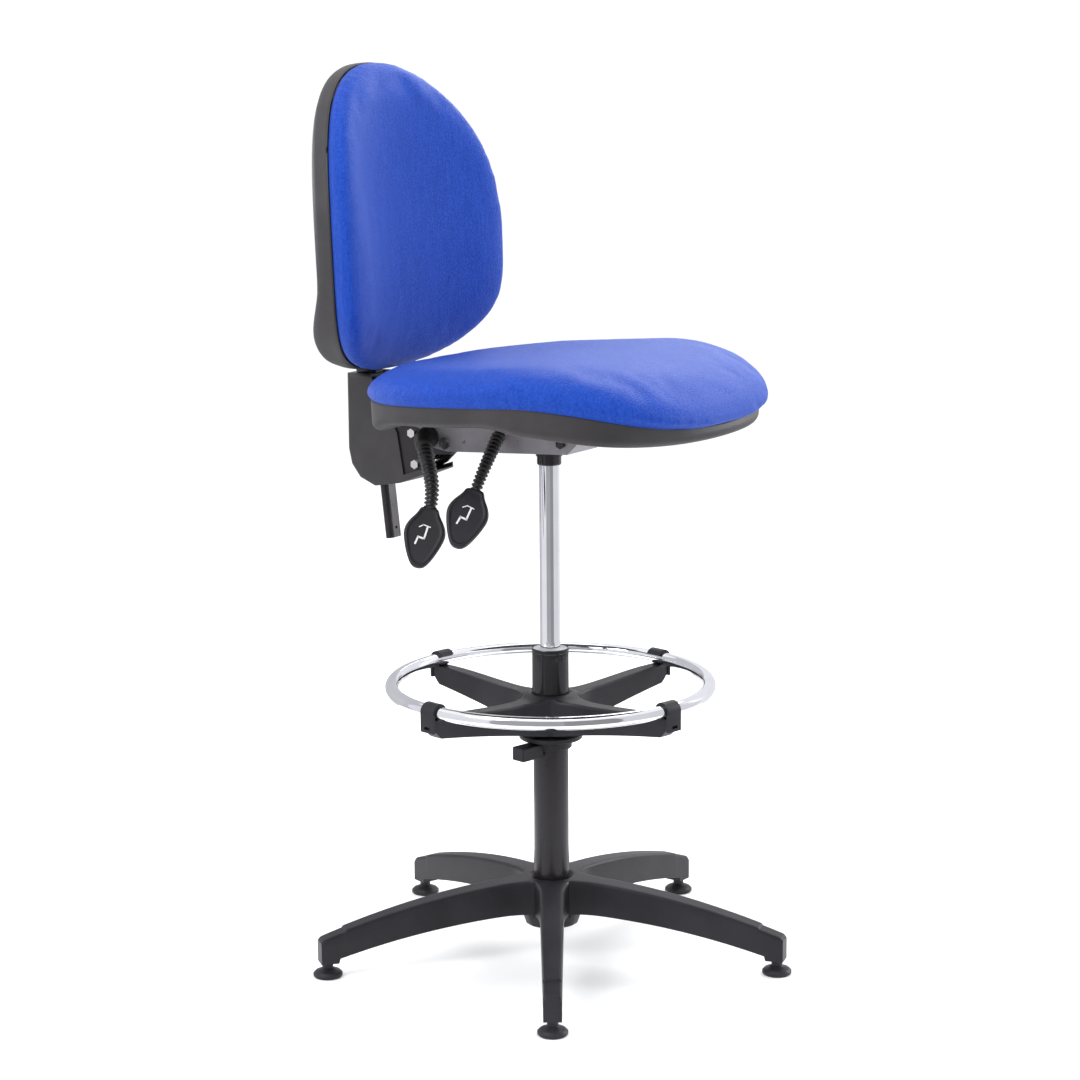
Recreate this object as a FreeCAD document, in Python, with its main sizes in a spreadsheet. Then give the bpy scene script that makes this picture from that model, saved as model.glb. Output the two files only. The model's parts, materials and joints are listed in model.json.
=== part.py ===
import FreeCAD, Part
import math
import os
import Sketcher
from FreeCAD import Placement, Rotation, Vector

# Drafting chair: five-legged base on glides, gas-lift column, height-adjustable footring,
# seat mechanism with two levers, contoured seat and a reclining, height-adjustable backrest.
# Frame: +Z up, origin on the floor under the column's axis, the sitter faces -Y.

doc = FreeCAD.newDocument("drafting_chair")
sheet = doc.addObject("Spreadsheet::Sheet", "Sizes")

SIZES = {
    # star base
    "glide_circle": 321, "glide_dia": 40, "glide_tall": 13, "leg_reach": 332, "leg_wide_root": 34,
    "leg_wide_end": 24, "leg_end_low": 20, "leg_end_top": 54, "leg_count": 5, "leg_wall": 3,
    "hub_radius": 41, "hub_low": 44, "hub_top": 112, "first_leg_turn": 212,
    # column, bearing and gas lift
    "column_dia": 48.2, "column_wall": 2, "column_low": 46, "column_top": 431,
    "column_flare_z": 150, "bush_low": 335, "stem_dia": 28, "stem_low": 322, "stem_top": 746,
    "stem_wall": 2, "rod_dia": 10, "rod_low": 34, "rod_top": 372,
    # footring
    "ring_radius": 217.5, "ring_dia": 18, "ring_z": 382.7, "sleeve_dia": 50.8, "sleeve_low": 322,
    "sleeve_top": 434, "spoke_turn": 167, "spoke_count": 4, "spoke_wide": 27, "spoke_top": 366,
    "spoke_low_root": 317, "spoke_low_end": 350, "hub_boss_radius": 37, "collar_dia": 87,
    "collar_low": 294, "collar_top": 313, "handle_reach": 64, "handle_wide": 22, "handle_tall": 19,
    # mechanism, tilted with the seat
    "seat_tilt": 3, "chassis_z": 706, "chassis_half": 38, "chassis_plate": 3, "chassis_front": 58,
    "chassis_rear": 158, "paddle_long": 86, "chassis_tall": 63.2, "pivot_back": 143, "pivot_up": 11, "pivot_dia": 12,
    # seat
    "seat_half_wide": 238, "seat_front": 270, "seat_rear": 209, "seat_seam": 84, "seat_drop": 42,
    "seat_board_up": 63.4, "seat_board_thick": 12, "seat_shell_wall": 3, "seat_pad_rear": 44,
    "seat_pad_front": 48,
    # back carrier and backrest
    "bar_lean": 6.5, "bar_foot_y": 259, "bar_foot_z": 563, "bar_long": 450, "bar_wide": 27,
    "bar_thick": 13, "cover_half": 35, "back_lean": 2.6, "back_y": 270, "back_z": 801,
    "back_tall": 424, "back_half_wide": 188, "back_curve": 326, "back_rim": 23, "back_low_rim": 38,
    "back_pad": 36,
}
for row, (alias, number) in enumerate(SIZES.items(), start=1):
    sheet.set("A%d" % row, alias)
    sheet.set("B%d" % row, str(number))
    sheet.setAlias("B%d" % row, alias)
doc.recompute()


def size(alias):
    """A driving dimension, read back from the sheet."""
    return float(sheet.get(alias))


def work_out(rule):
    """The number that an expression on the sheet gives."""
    found = sheet.evalExpression(str(rule).replace("Sizes.", ""))
    return float(getattr(found, "Value", found))


# ---------------------------------------------------------------- helpers

kept = []


def keep(item, label, placement=None):
    """Names a sub-part and marks it for export."""
    item.Label = label
    if placement is not None:
        item.Placement = placement
    kept.append(item)
    return item


def origin_plane(body, role):
    """One of a body's own origin planes."""
    return next(plane for plane in body.Origin.OriginFeatures if plane.Role == role)


def draw(body, role, name, outline):
    """A closed sketch of straight lines; each corner is tied to the sheet by its two distances."""
    sketch = body.newObject("Sketcher::SketchObject", name)
    sketch.AttachmentSupport = [(origin_plane(body, role), "")]
    sketch.MapMode = "FlatFace"
    corners = [Vector(work_out(across), work_out(up), 0) for across, up in outline]
    count = len(corners)
    for index in range(count):
        sketch.addGeometry(Part.LineSegment(corners[index], corners[(index + 1) % count]), False)
    for index in range(count):
        sketch.addConstraint(Sketcher.Constraint("Coincident", index, 2, (index + 1) % count, 1))
    for index, (corner, rules) in enumerate(zip(corners, outline)):
        for kind, number, rule in (("DistanceX", corner.x, rules[0]), ("DistanceY", corner.y, rules[1])):
            held = sketch.addConstraint(Sketcher.Constraint(kind, -1, 1, index, 1, number))
            sketch.renameConstraint(held, "%s%d" % (kind, index))
            sketch.setExpression("Constraints.%s%d" % (kind, index), str(rule))
    return sketch


def turned(name, outline):
    """A body of revolution about Z from (radius, height) corners."""
    body = doc.addObject("PartDesign::Body", name)
    sketch = draw(body, "XZ_Plane", name + "_half_section", outline)
    spin = body.newObject("PartDesign::Revolution", name + "_turned")
    spin.Profile = sketch
    spin.ReferenceAxis = (sketch, ["V_Axis"])
    spin.Angle = 360
    return body


def plate(name, role, outline, thick):
    """A body padded equally to both sides of one of its origin planes."""
    body = doc.addObject("PartDesign::Body", name)
    sketch = draw(body, role, name + "_outline", outline)
    pad = body.newObject("PartDesign::Pad", name + "_pad")
    pad.Profile = sketch
    pad.setExpression("Length", str(thick))
    pad.SideType = "Symmetric"
    return body


def primitive(kind, name, sizes, place=("0", "0", "0"), spin=Rotation()):
    """A Part primitive whose sizes and place are rules on the sheet."""
    item = doc.addObject("Part::" + kind, name)
    for prop, rule in sizes.items():
        item.setExpression(prop, str(rule))
    item.Placement = Placement(Vector(0, 0, 0), spin)
    for letter, rule in zip("xyz", place):
        item.setExpression(".Placement.Base." + letter, str(rule))
    return item


def cut(name, base, tool):
    item = doc.addObject("Part::Cut", name)
    item.Base = base
    item.Tool = tool
    return item


def fuse(name, shapes):
    item = doc.addObject("Part::MultiFuse", name)
    item.Shapes = shapes
    item.Refine = True
    return item


def common(name, shapes):
    item = doc.addObject("Part::MultiCommon", name)
    item.Shapes = shapes
    return item


def built(name, shape, placement=Placement()):
    """A freeform piece, its shape worked out from the sheet's sizes."""
    item = doc.addObject("Part::Feature", name)
    item.Shape = shape
    item.Placement = placement
    return item


def repeated(name, item, placements):
    """Separate copies of one piece, kept together as a group of solids."""
    doc.recompute()
    solids = []
    for placement in placements:
        solid = item.Shape.copy()
        solid.Placement = placement.multiply(solid.Placement)
        solids.append(solid)
    return built(name, Part.Compound(solids))


def around_z(degrees, radius=0.0, height=0.0):
    """A placement turned about Z and moved out along the turned X axis."""
    turn = Rotation(Vector(0, 0, 1), degrees)
    return Placement(turn.multVec(Vector(radius, 0, height)), turn)


def fillet_edges(name, base, radius, wanted):
    """Rounds the edges of a piece that pass the test."""
    doc.recompute()
    item = doc.addObject("Part::Fillet", name)
    item.Base = base
    item.Edges = [(index, radius, radius) for index, edge in enumerate(base.Shape.Edges, start=1)
                  if wanted(edge)]
    return item


def bent_tube(points, radius):
    """A round bar along straight runs joined by tangent arcs."""
    edges = []
    start = points[0]
    for index in range(1, len(points) - 1):
        before = (points[index - 1] - points[index])
        after = (points[index + 1] - points[index])
        half_turn = (math.pi - before.getAngle(after)) / 2
        reach = 0.45 * min(before.Length, after.Length)
        bisector = (before.normalize() + after.normalize()).normalize()
        entry = points[index] + before * reach
        leave = points[index] + after * reach
        bend = reach / math.tan(half_turn)
        middle = points[index] + bisector * (bend / math.cos(half_turn) - bend)
        edges += [Part.LineSegment(start, entry).toShape(), Part.Arc(entry, middle, leave).toShape()]
        start = leave
    edges.append(Part.LineSegment(start, points[-1]).toShape())
    path = Part.Wire(edges)
    ring = Part.Circle(points[0], points[1] - points[0], radius).toShape()
    return path.makePipeShell([Part.Wire(ring)], True, False)


# The seat, its board and the mechanism share one frame, tipped back about the column's axis.
seat_frame = Placement(Vector(0, 0, size("chassis_z")), Rotation(Vector(1, 0, 0), -size("seat_tilt")))
# The back upright's frame leans back along the bar, and the backrest's own frame leans less.
bar_frame = Placement(Vector(0, size("bar_foot_y"), size("bar_foot_z")),
                      Rotation(Vector(1, 0, 0), -size("bar_lean")))
back_frame = Placement(Vector(0, size("back_y"), size("back_z")),
                       Rotation(Vector(1, 0, 0), -size("back_lean")))

# ---------------------------------------------------------------- star base


def leg_solid(name, inset, wide):
    """A leg's side profile, arched above and below, padded to its full width."""
    root = size("hub_radius") - 9
    reach = size("leg_reach") - inset
    top_root = Vector(root, 0, size("hub_top") - 3 - inset)
    top_end = Vector(reach, 0, size("leg_end_top") - inset)
    low_end = Vector(reach, 0, size("leg_end_low") - 2 * inset)
    foot_inner = Vector(size("leg_reach") - 24 + inset, 0, size("leg_end_low") - 2 * inset)
    step = Vector(foot_inner.x, 0, size("leg_end_low") + 6 - 2 * inset)
    low_root = Vector(root, 0, size("hub_low") + 19 - 2 * inset)
    top_rise = Vector(0, 0, 11)
    low_rise = Vector(0, 0, 9)
    edges = [
        Part.Arc(top_root, (top_root + top_end) * 0.5 + top_rise, top_end).toShape(),
        Part.LineSegment(top_end, low_end).toShape(),
        Part.LineSegment(low_end, foot_inner).toShape(),
        Part.LineSegment(foot_inner, step).toShape(),
        Part.Arc(step, (step + low_root) * 0.5 + low_rise, low_root).toShape(),
        Part.LineSegment(low_root, top_root).toShape(),
    ]
    face = Part.Face(Part.Wire(edges))
    face.translate(Vector(0, -wide / 2, 0))
    return built(name, face.extrude(Vector(0, wide, 0)))


leg_side = leg_solid("leg_side", 0.0, size("leg_wide_root") + 40)
leg_plan = plate("leg_plan", "XY_Plane", [
    ("0", "-Sizes.leg_wide_root / 2 - 8"), ("Sizes.hub_radius + 4", "-Sizes.leg_wide_root / 2"),
    ("Sizes.leg_reach", "-Sizes.leg_wide_end / 2"), ("Sizes.leg_reach", "Sizes.leg_wide_end / 2"),
    ("Sizes.hub_radius + 4", "Sizes.leg_wide_root / 2"), ("0", "Sizes.leg_wide_root / 2 + 8"),
], "Sizes.hub_top * 3")
leg_block = common("leg_block", [leg_side, leg_plan])
leg_tip_round = fillet_edges("leg_tip_round", leg_block, 4.0,
                             lambda edge: edge.BoundBox.XMin > 330 and edge.BoundBox.ZLength > 25)
leg_round = fillet_edges("leg_round", leg_tip_round, 2.5, lambda edge: edge.BoundBox.ZMin > 50)
leg_inside = leg_solid("leg_inside", size("leg_wall"), size("leg_wide_end") - 2 * size("leg_wall"))
foot_boss = primitive("Box", "foot_boss", {"Length": "30", "Width": "Sizes.leg_wide_end - 4", "Height": "30"},
                      ("Sizes.leg_reach - 26", "2 - Sizes.leg_wide_end / 2", "Sizes.leg_end_low"))
leg_core = cut("leg_core", leg_inside, foot_boss)
leg_hollow = cut("leg_hollow", leg_round, leg_core)
pin_bore = primitive("Cylinder", "pin_bore", {"Radius": "5.5", "Height": "30"},
                     ("Sizes.glide_circle", "0", "Sizes.leg_end_low - 5"))
leg = cut("leg", leg_hollow, pin_bore)
hub = turned("base_hub", [
    ("0", "Sizes.hub_low"), ("Sizes.hub_radius - 6", "Sizes.hub_low"), ("Sizes.hub_radius", "Sizes.hub_low + 12"),
    ("Sizes.hub_radius", "Sizes.hub_top - 4"), ("Sizes.hub_radius - 5", "Sizes.hub_top"), ("0", "Sizes.hub_top"),
])
leg_turns = [size("first_leg_turn") + index * 360 / size("leg_count") for index in range(int(size("leg_count")))]
legs = repeated("five_legs", leg, [around_z(turn) for turn in leg_turns])
hub_bore = turned("hub_bore", [
    ("0", "Sizes.hub_low - 5"), ("Sizes.column_dia / 2 + 0.9", "Sizes.hub_low - 5"),
    ("Sizes.column_dia / 2 + 0.9", "Sizes.hub_top - 5"), ("Sizes.column_dia / 2 + 3.4", "Sizes.hub_top - 2"),
    ("Sizes.column_dia / 2 + 3.4", "Sizes.hub_top + 5"), ("0", "Sizes.hub_top + 5"),
])
doc.recompute()
hub_and_legs = fuse("hub_and_legs", [hub, legs])
keep(cut("star_base_cut", hub_and_legs, hub_bore), "star_base")

glide = turned("glide", [
    ("0", "0"), ("Sizes.glide_dia / 2 - 2", "0"), ("Sizes.glide_dia / 2", "2"),
    ("Sizes.glide_dia / 2", "5"), ("Sizes.glide_dia / 2 - 3", "8"), ("10", "11"), ("7.5", "13"),
    ("7.5", "Sizes.leg_end_low"), ("5.5", "Sizes.leg_end_low"), ("5.5", "8"), ("0", "8"),
])
keep(repeated("glides", glide, [around_z(turn, size("glide_circle")) for turn in leg_turns]), "floor_glides")
pin = primitive("Cylinder", "glide_pin", {"Radius": "5.5", "Height": "Sizes.leg_end_low + 24 - 8"},
                ("Sizes.glide_circle", "0", "8"))
keep(repeated("pins", pin, [around_z(turn) for turn in leg_turns]), "glide_pins")

# ---------------------------------------------------------------- column, thrust bearing, gas lift

column_r = "Sizes.column_dia / 2"
inner_r = "Sizes.column_dia / 2 - Sizes.column_wall"
keep(turned("column", [
    ("6", "Sizes.column_low"), ("Sizes.column_dia / 2 + 0.9", "Sizes.column_low"),
    ("Sizes.column_dia / 2 + 0.9", "Sizes.hub_top + 8"), (column_r, "Sizes.column_flare_z"),
    (column_r, "Sizes.column_top"), (inner_r, "Sizes.column_top"), (inner_r, "Sizes.column_low + 6"),
    ("6", "Sizes.column_low + 6"),
]), "column_tube")
keep(turned("bush", [
    ("Sizes.stem_dia / 2 + 0.08", "Sizes.bush_low"), (inner_r, "Sizes.bush_low"),
    (inner_r, "Sizes.column_top"), (column_r + " - 0.4", "Sizes.column_top"),
    (column_r + " - 0.4", "Sizes.column_top + 2"), ("Sizes.stem_dia / 2 + 0.08", "Sizes.column_top + 2"),
]), "guide_bush")

bearing_z = "Sizes.column_low + 6"
keep(turned("lower_race", [
    ("6.5", bearing_z), ("15", bearing_z), ("15", bearing_z + " + 2"), ("6.5", bearing_z + " + 2"),
]), "bearing_lower_race")
ball = primitive("Sphere", "ball", {"Radius": "2"}, ("11", "0", bearing_z + " + 4"))
keep(repeated("balls", ball, [around_z(index * 36) for index in range(10)]), "bearing_balls")
keep(turned("upper_race", [
    ("Sizes.rod_dia / 2", bearing_z + " + 6"), ("15", bearing_z + " + 6"), ("15", bearing_z + " + 8"),
    ("Sizes.rod_dia / 2", bearing_z + " + 8"),
]), "bearing_upper_race")
keep(turned("buffer", [
    ("Sizes.rod_dia / 2", bearing_z + " + 8"), ("14", bearing_z + " + 8"), ("12", bearing_z + " + 14"),
    ("14", bearing_z + " + 20"), ("Sizes.rod_dia / 2", bearing_z + " + 20"),
]), "shock_buffer")
keep(turned("rod", [
    ("0", "Sizes.rod_low"), ("Sizes.rod_dia / 2", "Sizes.rod_low"), ("Sizes.rod_dia / 2", "Sizes.rod_low + 4"),
    ("Sizes.rod_dia / 2 - 1", "Sizes.rod_low + 4"), ("Sizes.rod_dia / 2 - 1", "Sizes.rod_low + 6"),
    ("Sizes.rod_dia / 2", "Sizes.rod_low + 6"), ("Sizes.rod_dia / 2", "Sizes.rod_top"), ("0", "Sizes.rod_top"),
]), "piston_rod")
keep(turned("clip", [
    ("Sizes.rod_dia / 2 - 1", "Sizes.rod_low + 4"), ("10", "Sizes.rod_low + 4"),
    ("10", "Sizes.rod_low + 6"), ("Sizes.rod_dia / 2 - 1", "Sizes.rod_low + 6"),
]), "rod_retaining_clip")
stem_bore = "Sizes.stem_dia / 2 - Sizes.stem_wall"
keep(turned("piston", [
    ("Sizes.rod_dia / 2", "Sizes.rod_top - 16"), (stem_bore + " - 0.1", "Sizes.rod_top - 16"),
    (stem_bore + " - 0.1", "Sizes.rod_top - 2"), ("Sizes.rod_dia / 2", "Sizes.rod_top - 2"),
]), "gas_piston")
keep(turned("cylinder", [
    (stem_bore, "Sizes.stem_low"), ("Sizes.stem_dia / 2", "Sizes.stem_low"),
    ("Sizes.stem_dia / 2", "Sizes.stem_top"), ("4.1", "Sizes.stem_top"), ("4.1", "Sizes.stem_top - 20"),
    (stem_bore, "Sizes.stem_top - 20"),
]), "gas_cylinder")
keep(turned("seal", [
    ("Sizes.rod_dia / 2 + 0.06", "Sizes.stem_low"), (stem_bore, "Sizes.stem_low"),
    (stem_bore, "Sizes.stem_low + 18"), ("Sizes.rod_dia / 2 + 0.06", "Sizes.stem_low + 18"),
]), "cylinder_rod_seal")
keep(turned("button", [
    ("0", "Sizes.stem_top - 18"), ("4", "Sizes.stem_top - 18"), ("4", "Sizes.stem_top + 5"),
    ("0", "Sizes.stem_top + 5"),
]), "valve_button")
keep(turned("collar", [
    ("Sizes.stem_dia / 2", "687"), ("15.6", "687"), ("16.6", "688.5"), ("16.6", "699"),
    ("Sizes.stem_dia / 2", "699"),
]), "stem_collar")
keep(turned("socket", [
    ("Sizes.stem_dia / 2", "699"), ("18", "699"), ("18", "Sizes.stem_top - 4"),
    ("Sizes.stem_dia / 2", "Sizes.stem_top - 4"),
]), "taper_socket")

# ---------------------------------------------------------------- footring

ring_outer = primitive("Torus", "ring_outer", {"Radius1": "Sizes.ring_radius", "Radius2": "Sizes.ring_dia / 2"},
                       ("0", "0", "Sizes.ring_z"))
ring_inner = primitive("Torus", "ring_inner", {"Radius1": "Sizes.ring_radius", "Radius2": "Sizes.ring_dia / 2 - 1.5"},
                       ("0", "0", "Sizes.ring_z"))
keep(cut("ring_cut", ring_outer, ring_inner), "footring")

sleeve_r = "Sizes.sleeve_dia / 2"
sleeve_tube = turned("sleeve_tube", [
    (column_r + " + 0.1", "Sizes.sleeve_low"), (sleeve_r + " - 0.2", "Sizes.sleeve_low"),
    (sleeve_r + " - 0.2", "Sizes.sleeve_top - 6"), (sleeve_r, "Sizes.sleeve_top - 5"),
    (sleeve_r, "Sizes.sleeve_top - 1"), (sleeve_r + " - 0.6", "Sizes.sleeve_top"),
    (column_r + " + 0.1", "Sizes.sleeve_top"),
])
keep(sleeve_tube, "footring_sleeve")

spoke_turns = [size("spoke_turn") + index * 360 / size("spoke_count") for index in range(int(size("spoke_count")))]
spoke_side = plate("spoke_side", "XZ_Plane", [
    ("20", "Sizes.spoke_low_root"), ("Sizes.ring_radius - 2", "Sizes.spoke_low_end"),
    ("Sizes.ring_radius + 8", "Sizes.spoke_low_end + 8"),
    ("Sizes.ring_radius + 8", "Sizes.ring_z - Sizes.ring_dia / 2 - 0.2"),
    ("Sizes.ring_radius - 14", "Sizes.ring_z - Sizes.ring_dia / 2 - 0.2"),
    ("60", "Sizes.spoke_top + 2"), ("20", "Sizes.spoke_top"),
], "Sizes.spoke_wide * 2")
spoke_plan = plate("spoke_plan", "XY_Plane", [
    ("20", "-Sizes.spoke_wide / 2 - 4"), ("48", "-Sizes.spoke_wide / 2"),
    ("Sizes.ring_radius + 8", "3 - Sizes.spoke_wide / 2"), ("Sizes.ring_radius + 8", "Sizes.spoke_wide / 2 - 3"),
    ("48", "Sizes.spoke_wide / 2"), ("20", "Sizes.spoke_wide / 2 + 4"),
], "Sizes.ring_z * 3")
spoke_block = common("spoke_block", [spoke_side, spoke_plan])
spoke_round = fillet_edges("spoke_round", spoke_block, 2.5,
                           lambda edge: edge.BoundBox.XLength > 25 and edge.BoundBox.ZMin > 355
                           and edge.BoundBox.YLength < 10)
spoke_core = plate("spoke_core", "XZ_Plane", [
    ("48", "Sizes.spoke_low_root - 10"), ("Sizes.ring_radius - 12", "Sizes.spoke_low_end - 10"),
    ("Sizes.ring_radius - 12", "Sizes.ring_z - Sizes.ring_dia / 2 - 4"), ("60", "Sizes.spoke_top - 2"),
    ("48", "Sizes.spoke_top - 2"),
], "Sizes.spoke_wide - 12")
spoke = cut("spoke", spoke_round, spoke_core)
spokes = repeated("four_spokes", spoke, [around_z(turn) for turn in spoke_turns])
ring_hub = turned("ring_hub", [
    ("0", "Sizes.spoke_low_root"), ("Sizes.hub_boss_radius", "Sizes.spoke_low_root"),
    ("Sizes.hub_boss_radius + 3", "Sizes.spoke_low_root + 3"), ("Sizes.hub_boss_radius + 3", "Sizes.spoke_top - 6"),
    ("Sizes.hub_boss_radius - 2", "Sizes.spoke_top + 2"), ("Sizes.sleeve_dia / 2 + 4", "Sizes.spoke_top + 5"),
    ("0", "Sizes.spoke_top + 5"),
])
ring_hub_bore = primitive("Cylinder", "ring_hub_bore", {"Radius": sleeve_r + " - 0.2", "Height": "100"},
                          ("0", "0", "Sizes.spoke_low_root - 20"))
doc.recompute()
keep(cut("hub_cut", fuse("hub_and_spokes", [ring_hub, spokes]), ring_hub_bore), "footring_hub")


def hook_face(ring_radius, tube, thick, height):
    """A hook's section: round the outside and over the top of the ring, with a flat tab below."""
    inner = tube + 0.2
    outer = inner + thick

    def spot(radius, degrees):
        angle = math.radians(degrees)
        return Vector(ring_radius + radius * math.cos(angle), 0, height + radius * math.sin(angle))

    tab_low = height - tube - 17
    edges = [
        Part.Arc(spot(inner, 0), spot(inner, 75), spot(inner, 150)).toShape(),
        Part.LineSegment(spot(inner, 150), spot(outer, 150)).toShape(),
        Part.Arc(spot(outer, 150), spot(outer, 75), spot(outer, 0)).toShape(),
        Part.LineSegment(spot(outer, 0), Vector(ring_radius + outer, 0, tab_low)).toShape(),
        Part.LineSegment(Vector(ring_radius + outer, 0, tab_low), Vector(ring_radius + inner, 0, tab_low)).toShape(),
        Part.LineSegment(Vector(ring_radius + inner, 0, tab_low), spot(inner, 0)).toShape(),
    ]
    return Part.Face(Part.Wire(edges))


hook_angle = 6.2
hook_turned = hook_face(size("ring_radius"), size("ring_dia") / 2, 3.6, size("ring_z"))
hook_turned.rotate(Vector(0, 0, 0), Vector(0, 0, 1), -hook_angle / 2)
hook_solid = hook_turned.revolve(Vector(0, 0, 0), Vector(0, 0, 1), hook_angle)
hook_whole = built("hook_whole", hook_solid)
hook_slot = primitive("Box", "hook_slot", {"Length": "20", "Width": "10", "Height": "4"},
                      ("Sizes.ring_radius + 5", "-5", "Sizes.ring_z - Sizes.ring_dia / 2 - 13"))
hook = cut("hook", hook_whole, hook_slot)
keep(repeated("hooks", hook, [around_z(turn) for turn in spoke_turns]), "ring_clips")

collar_round = turned("collar_round", [
    (column_r + " + 0.3", "Sizes.collar_low"), ("28", "Sizes.collar_low"), ("29", "Sizes.collar_low + 1"),
    ("29", "Sizes.collar_top - 8"), ("Sizes.collar_dia / 2 - 1", "Sizes.collar_top - 6"),
    ("Sizes.collar_dia / 2", "Sizes.collar_top - 5"), ("Sizes.collar_dia / 2", "Sizes.collar_top"),
    (column_r + " + 0.3", "Sizes.collar_top"),
])
handle_bar = primitive("Box", "handle_bar", {"Length": "Sizes.handle_reach - 26", "Width": "Sizes.handle_wide",
                                             "Height": "Sizes.handle_tall"},
                       ("26", "-Sizes.handle_wide / 2", "Sizes.collar_low - 9"))
handle_round = fillet_edges("handle_round", handle_bar, 2.0, lambda edge: edge.BoundBox.XMin > 30
                            or edge.BoundBox.XLength > 20)
doc.recompute()
collar_whole = fuse("collar_whole", [collar_round, handle_round])
keep(collar_whole, "lock_collar", around_z(size("spoke_turn")))

# ---------------------------------------------------------------- mechanism

chassis_outer = plate("chassis_outer", "YZ_Plane", [
    ("6 - Sizes.chassis_front", "0"), ("Sizes.chassis_rear - 18", "0"), ("Sizes.chassis_rear", "4"),
    ("Sizes.chassis_rear + 26", "10"), ("Sizes.chassis_rear + 26", "38"),
    ("Sizes.chassis_rear + 2", "Sizes.chassis_tall"), ("-Sizes.chassis_front", "Sizes.chassis_tall"),
    ("-Sizes.chassis_front - 10", "14"),
], "Sizes.chassis_half * 2")
chassis_inner = plate("chassis_inner", "YZ_Plane", [
    ("9 - Sizes.chassis_front", "-5"), ("Sizes.chassis_rear + 40", "-5"), ("Sizes.chassis_rear + 40", "30"),
    ("Sizes.chassis_rear + 14", "Sizes.chassis_tall - 3"), ("3 - Sizes.chassis_front", "Sizes.chassis_tall - 3"),
    ("-Sizes.chassis_front - 6", "15"), ("9 - Sizes.chassis_front", "3"),
], "(Sizes.chassis_half - Sizes.chassis_plate) * 2")
socket_plate = primitive("Box", "socket_plate", {"Length": "(Sizes.chassis_half - Sizes.chassis_plate) * 2",
                                                 "Width": "56", "Height": "3"},
                         ("Sizes.chassis_plate - Sizes.chassis_half", "-28", "6"))
upright = Rotation(Vector(1, 0, 0), size("seat_tilt"))
socket_hole = primitive("Cylinder", "socket_hole", {"Radius": "18", "Height": "45"},
                        ("0", "10 * tan(Sizes.seat_tilt)", "-10"), upright)


def cross_hole(name, radius, place, long="60"):
    """A drilled hole along X, centred on the near side plate."""
    return primitive("Cylinder", name, {"Radius": radius, "Height": long},
                     ("-Sizes.chassis_half - 10", place[0], place[1]), Rotation(Vector(0, 1, 0), 90))


lever_y = 50
lever_z = 736
lock_y = 170
lock_z = 718
in_seat = seat_frame.inverse()
lever_spot = in_seat.multVec(Vector(0, lever_y, lever_z))
lock_spot = in_seat.multVec(Vector(0, lock_y, lock_z))
pivot_spot = Vector(0, size("pivot_back"), size("pivot_up"))
chassis_holes = [
    cross_hole("height_lever_hole", "10", (lever_spot.y, lever_spot.z), "20"),
    cross_hole("back_lever_hole", "8", (lock_spot.y, lock_spot.z), "20"),
    cross_hole("pivot_hole", "Sizes.pivot_dia / 2", ("Sizes.pivot_back", "Sizes.pivot_up"), "100"),
    cross_hole("front_bolt_hole", "4", ("-44", "15"), "100"),
    cross_hole("round_window", "5", ("-12", "28"), "20"),
    cross_hole("spring_hole", "2.5", ("112", "14"), "20"),
]
screw_spots = [(side * 26, along) for side in (-1, 1) for along in (-42, 108)]
screw_holes = [primitive("Cylinder", "screw_hole", {"Radius": "4", "Height": "30"},
                         (str(x), str(y), "Sizes.chassis_tall - 10")) for x, y in screw_spots]
chassis_body = fuse("chassis_body", [cut("chassis_channel", chassis_outer, chassis_inner), socket_plate])
chassis_drill = fuse("chassis_drill", [socket_hole] + chassis_holes + screw_holes)
keep(cut("chassis_cut", chassis_body, chassis_drill), "mechanism_chassis", seat_frame)


def cross_bolt(name, radius, half_long, head_radius, head_thick, place):
    """A bolt along X with a hexagon head at each end, turned on its axis."""
    along_x = Rotation(Vector(0, 1, 0), 90)
    shank = primitive("Cylinder", name + "_shank", {"Radius": radius, "Height": "2 * (%s)" % half_long},
                      ("-(%s)" % half_long, place[0], place[1]), along_x)
    heads = [primitive("Prism", name + "_head", {"Circumradius": head_radius, "Height": head_thick},
                       (start, place[0], place[1]), along_x)
             for start in ("-(%s) - %s" % (half_long, head_thick), half_long)]
    return fuse(name, [shank] + heads)


keep(cross_bolt("front_bolt", "4", "Sizes.chassis_half", "7", "5", ("-44", "15")),
     "front_cross_bolt", seat_frame)
keep(cross_bolt("pivot_pin", "Sizes.pivot_dia / 2", "Sizes.chassis_half", "9", "3",
                ("Sizes.pivot_back", "Sizes.pivot_up")), "recline_pivot_pin", seat_frame)

spring_coils = 7
spring_pitch = 5.2
spring_path = Part.makeHelix(spring_pitch, spring_coils * spring_pitch, 10)
spring_ring = Part.Wire(Part.Circle(Vector(10, 0, 0), Vector(0, 1, 0), 1.6).toShape())
spring_coil = Part.Wire(spring_path.Edges).makePipeShell([spring_ring], True, True)
spring_place = seat_frame.multiply(Placement(pivot_spot + Vector(-spring_coils * spring_pitch / 2, 0, 0),
                                             Rotation(Vector(0, 1, 0), 90)))
keep(built("spring", spring_coil), "recline_spring", spring_place)

barrel_long = 12
barrel_outer = primitive("Cylinder", "barrel_outer", {"Radius": "12", "Height": barrel_long})
barrel_inner = primitive("Cylinder", "barrel_inner", {"Radius": "9", "Height": barrel_long + 2}, ("0", "0", "-1"))
keep(cut("barrel", barrel_outer, barrel_inner), "recline_lock_barrel",
     seat_frame.multiply(Placement(Vector(-size("chassis_half") - barrel_long, lock_spot.y, lock_spot.z),
                                   Rotation(Vector(0, 1, 0), 90))))

# ---------------------------------------------------------------- levers


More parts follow.
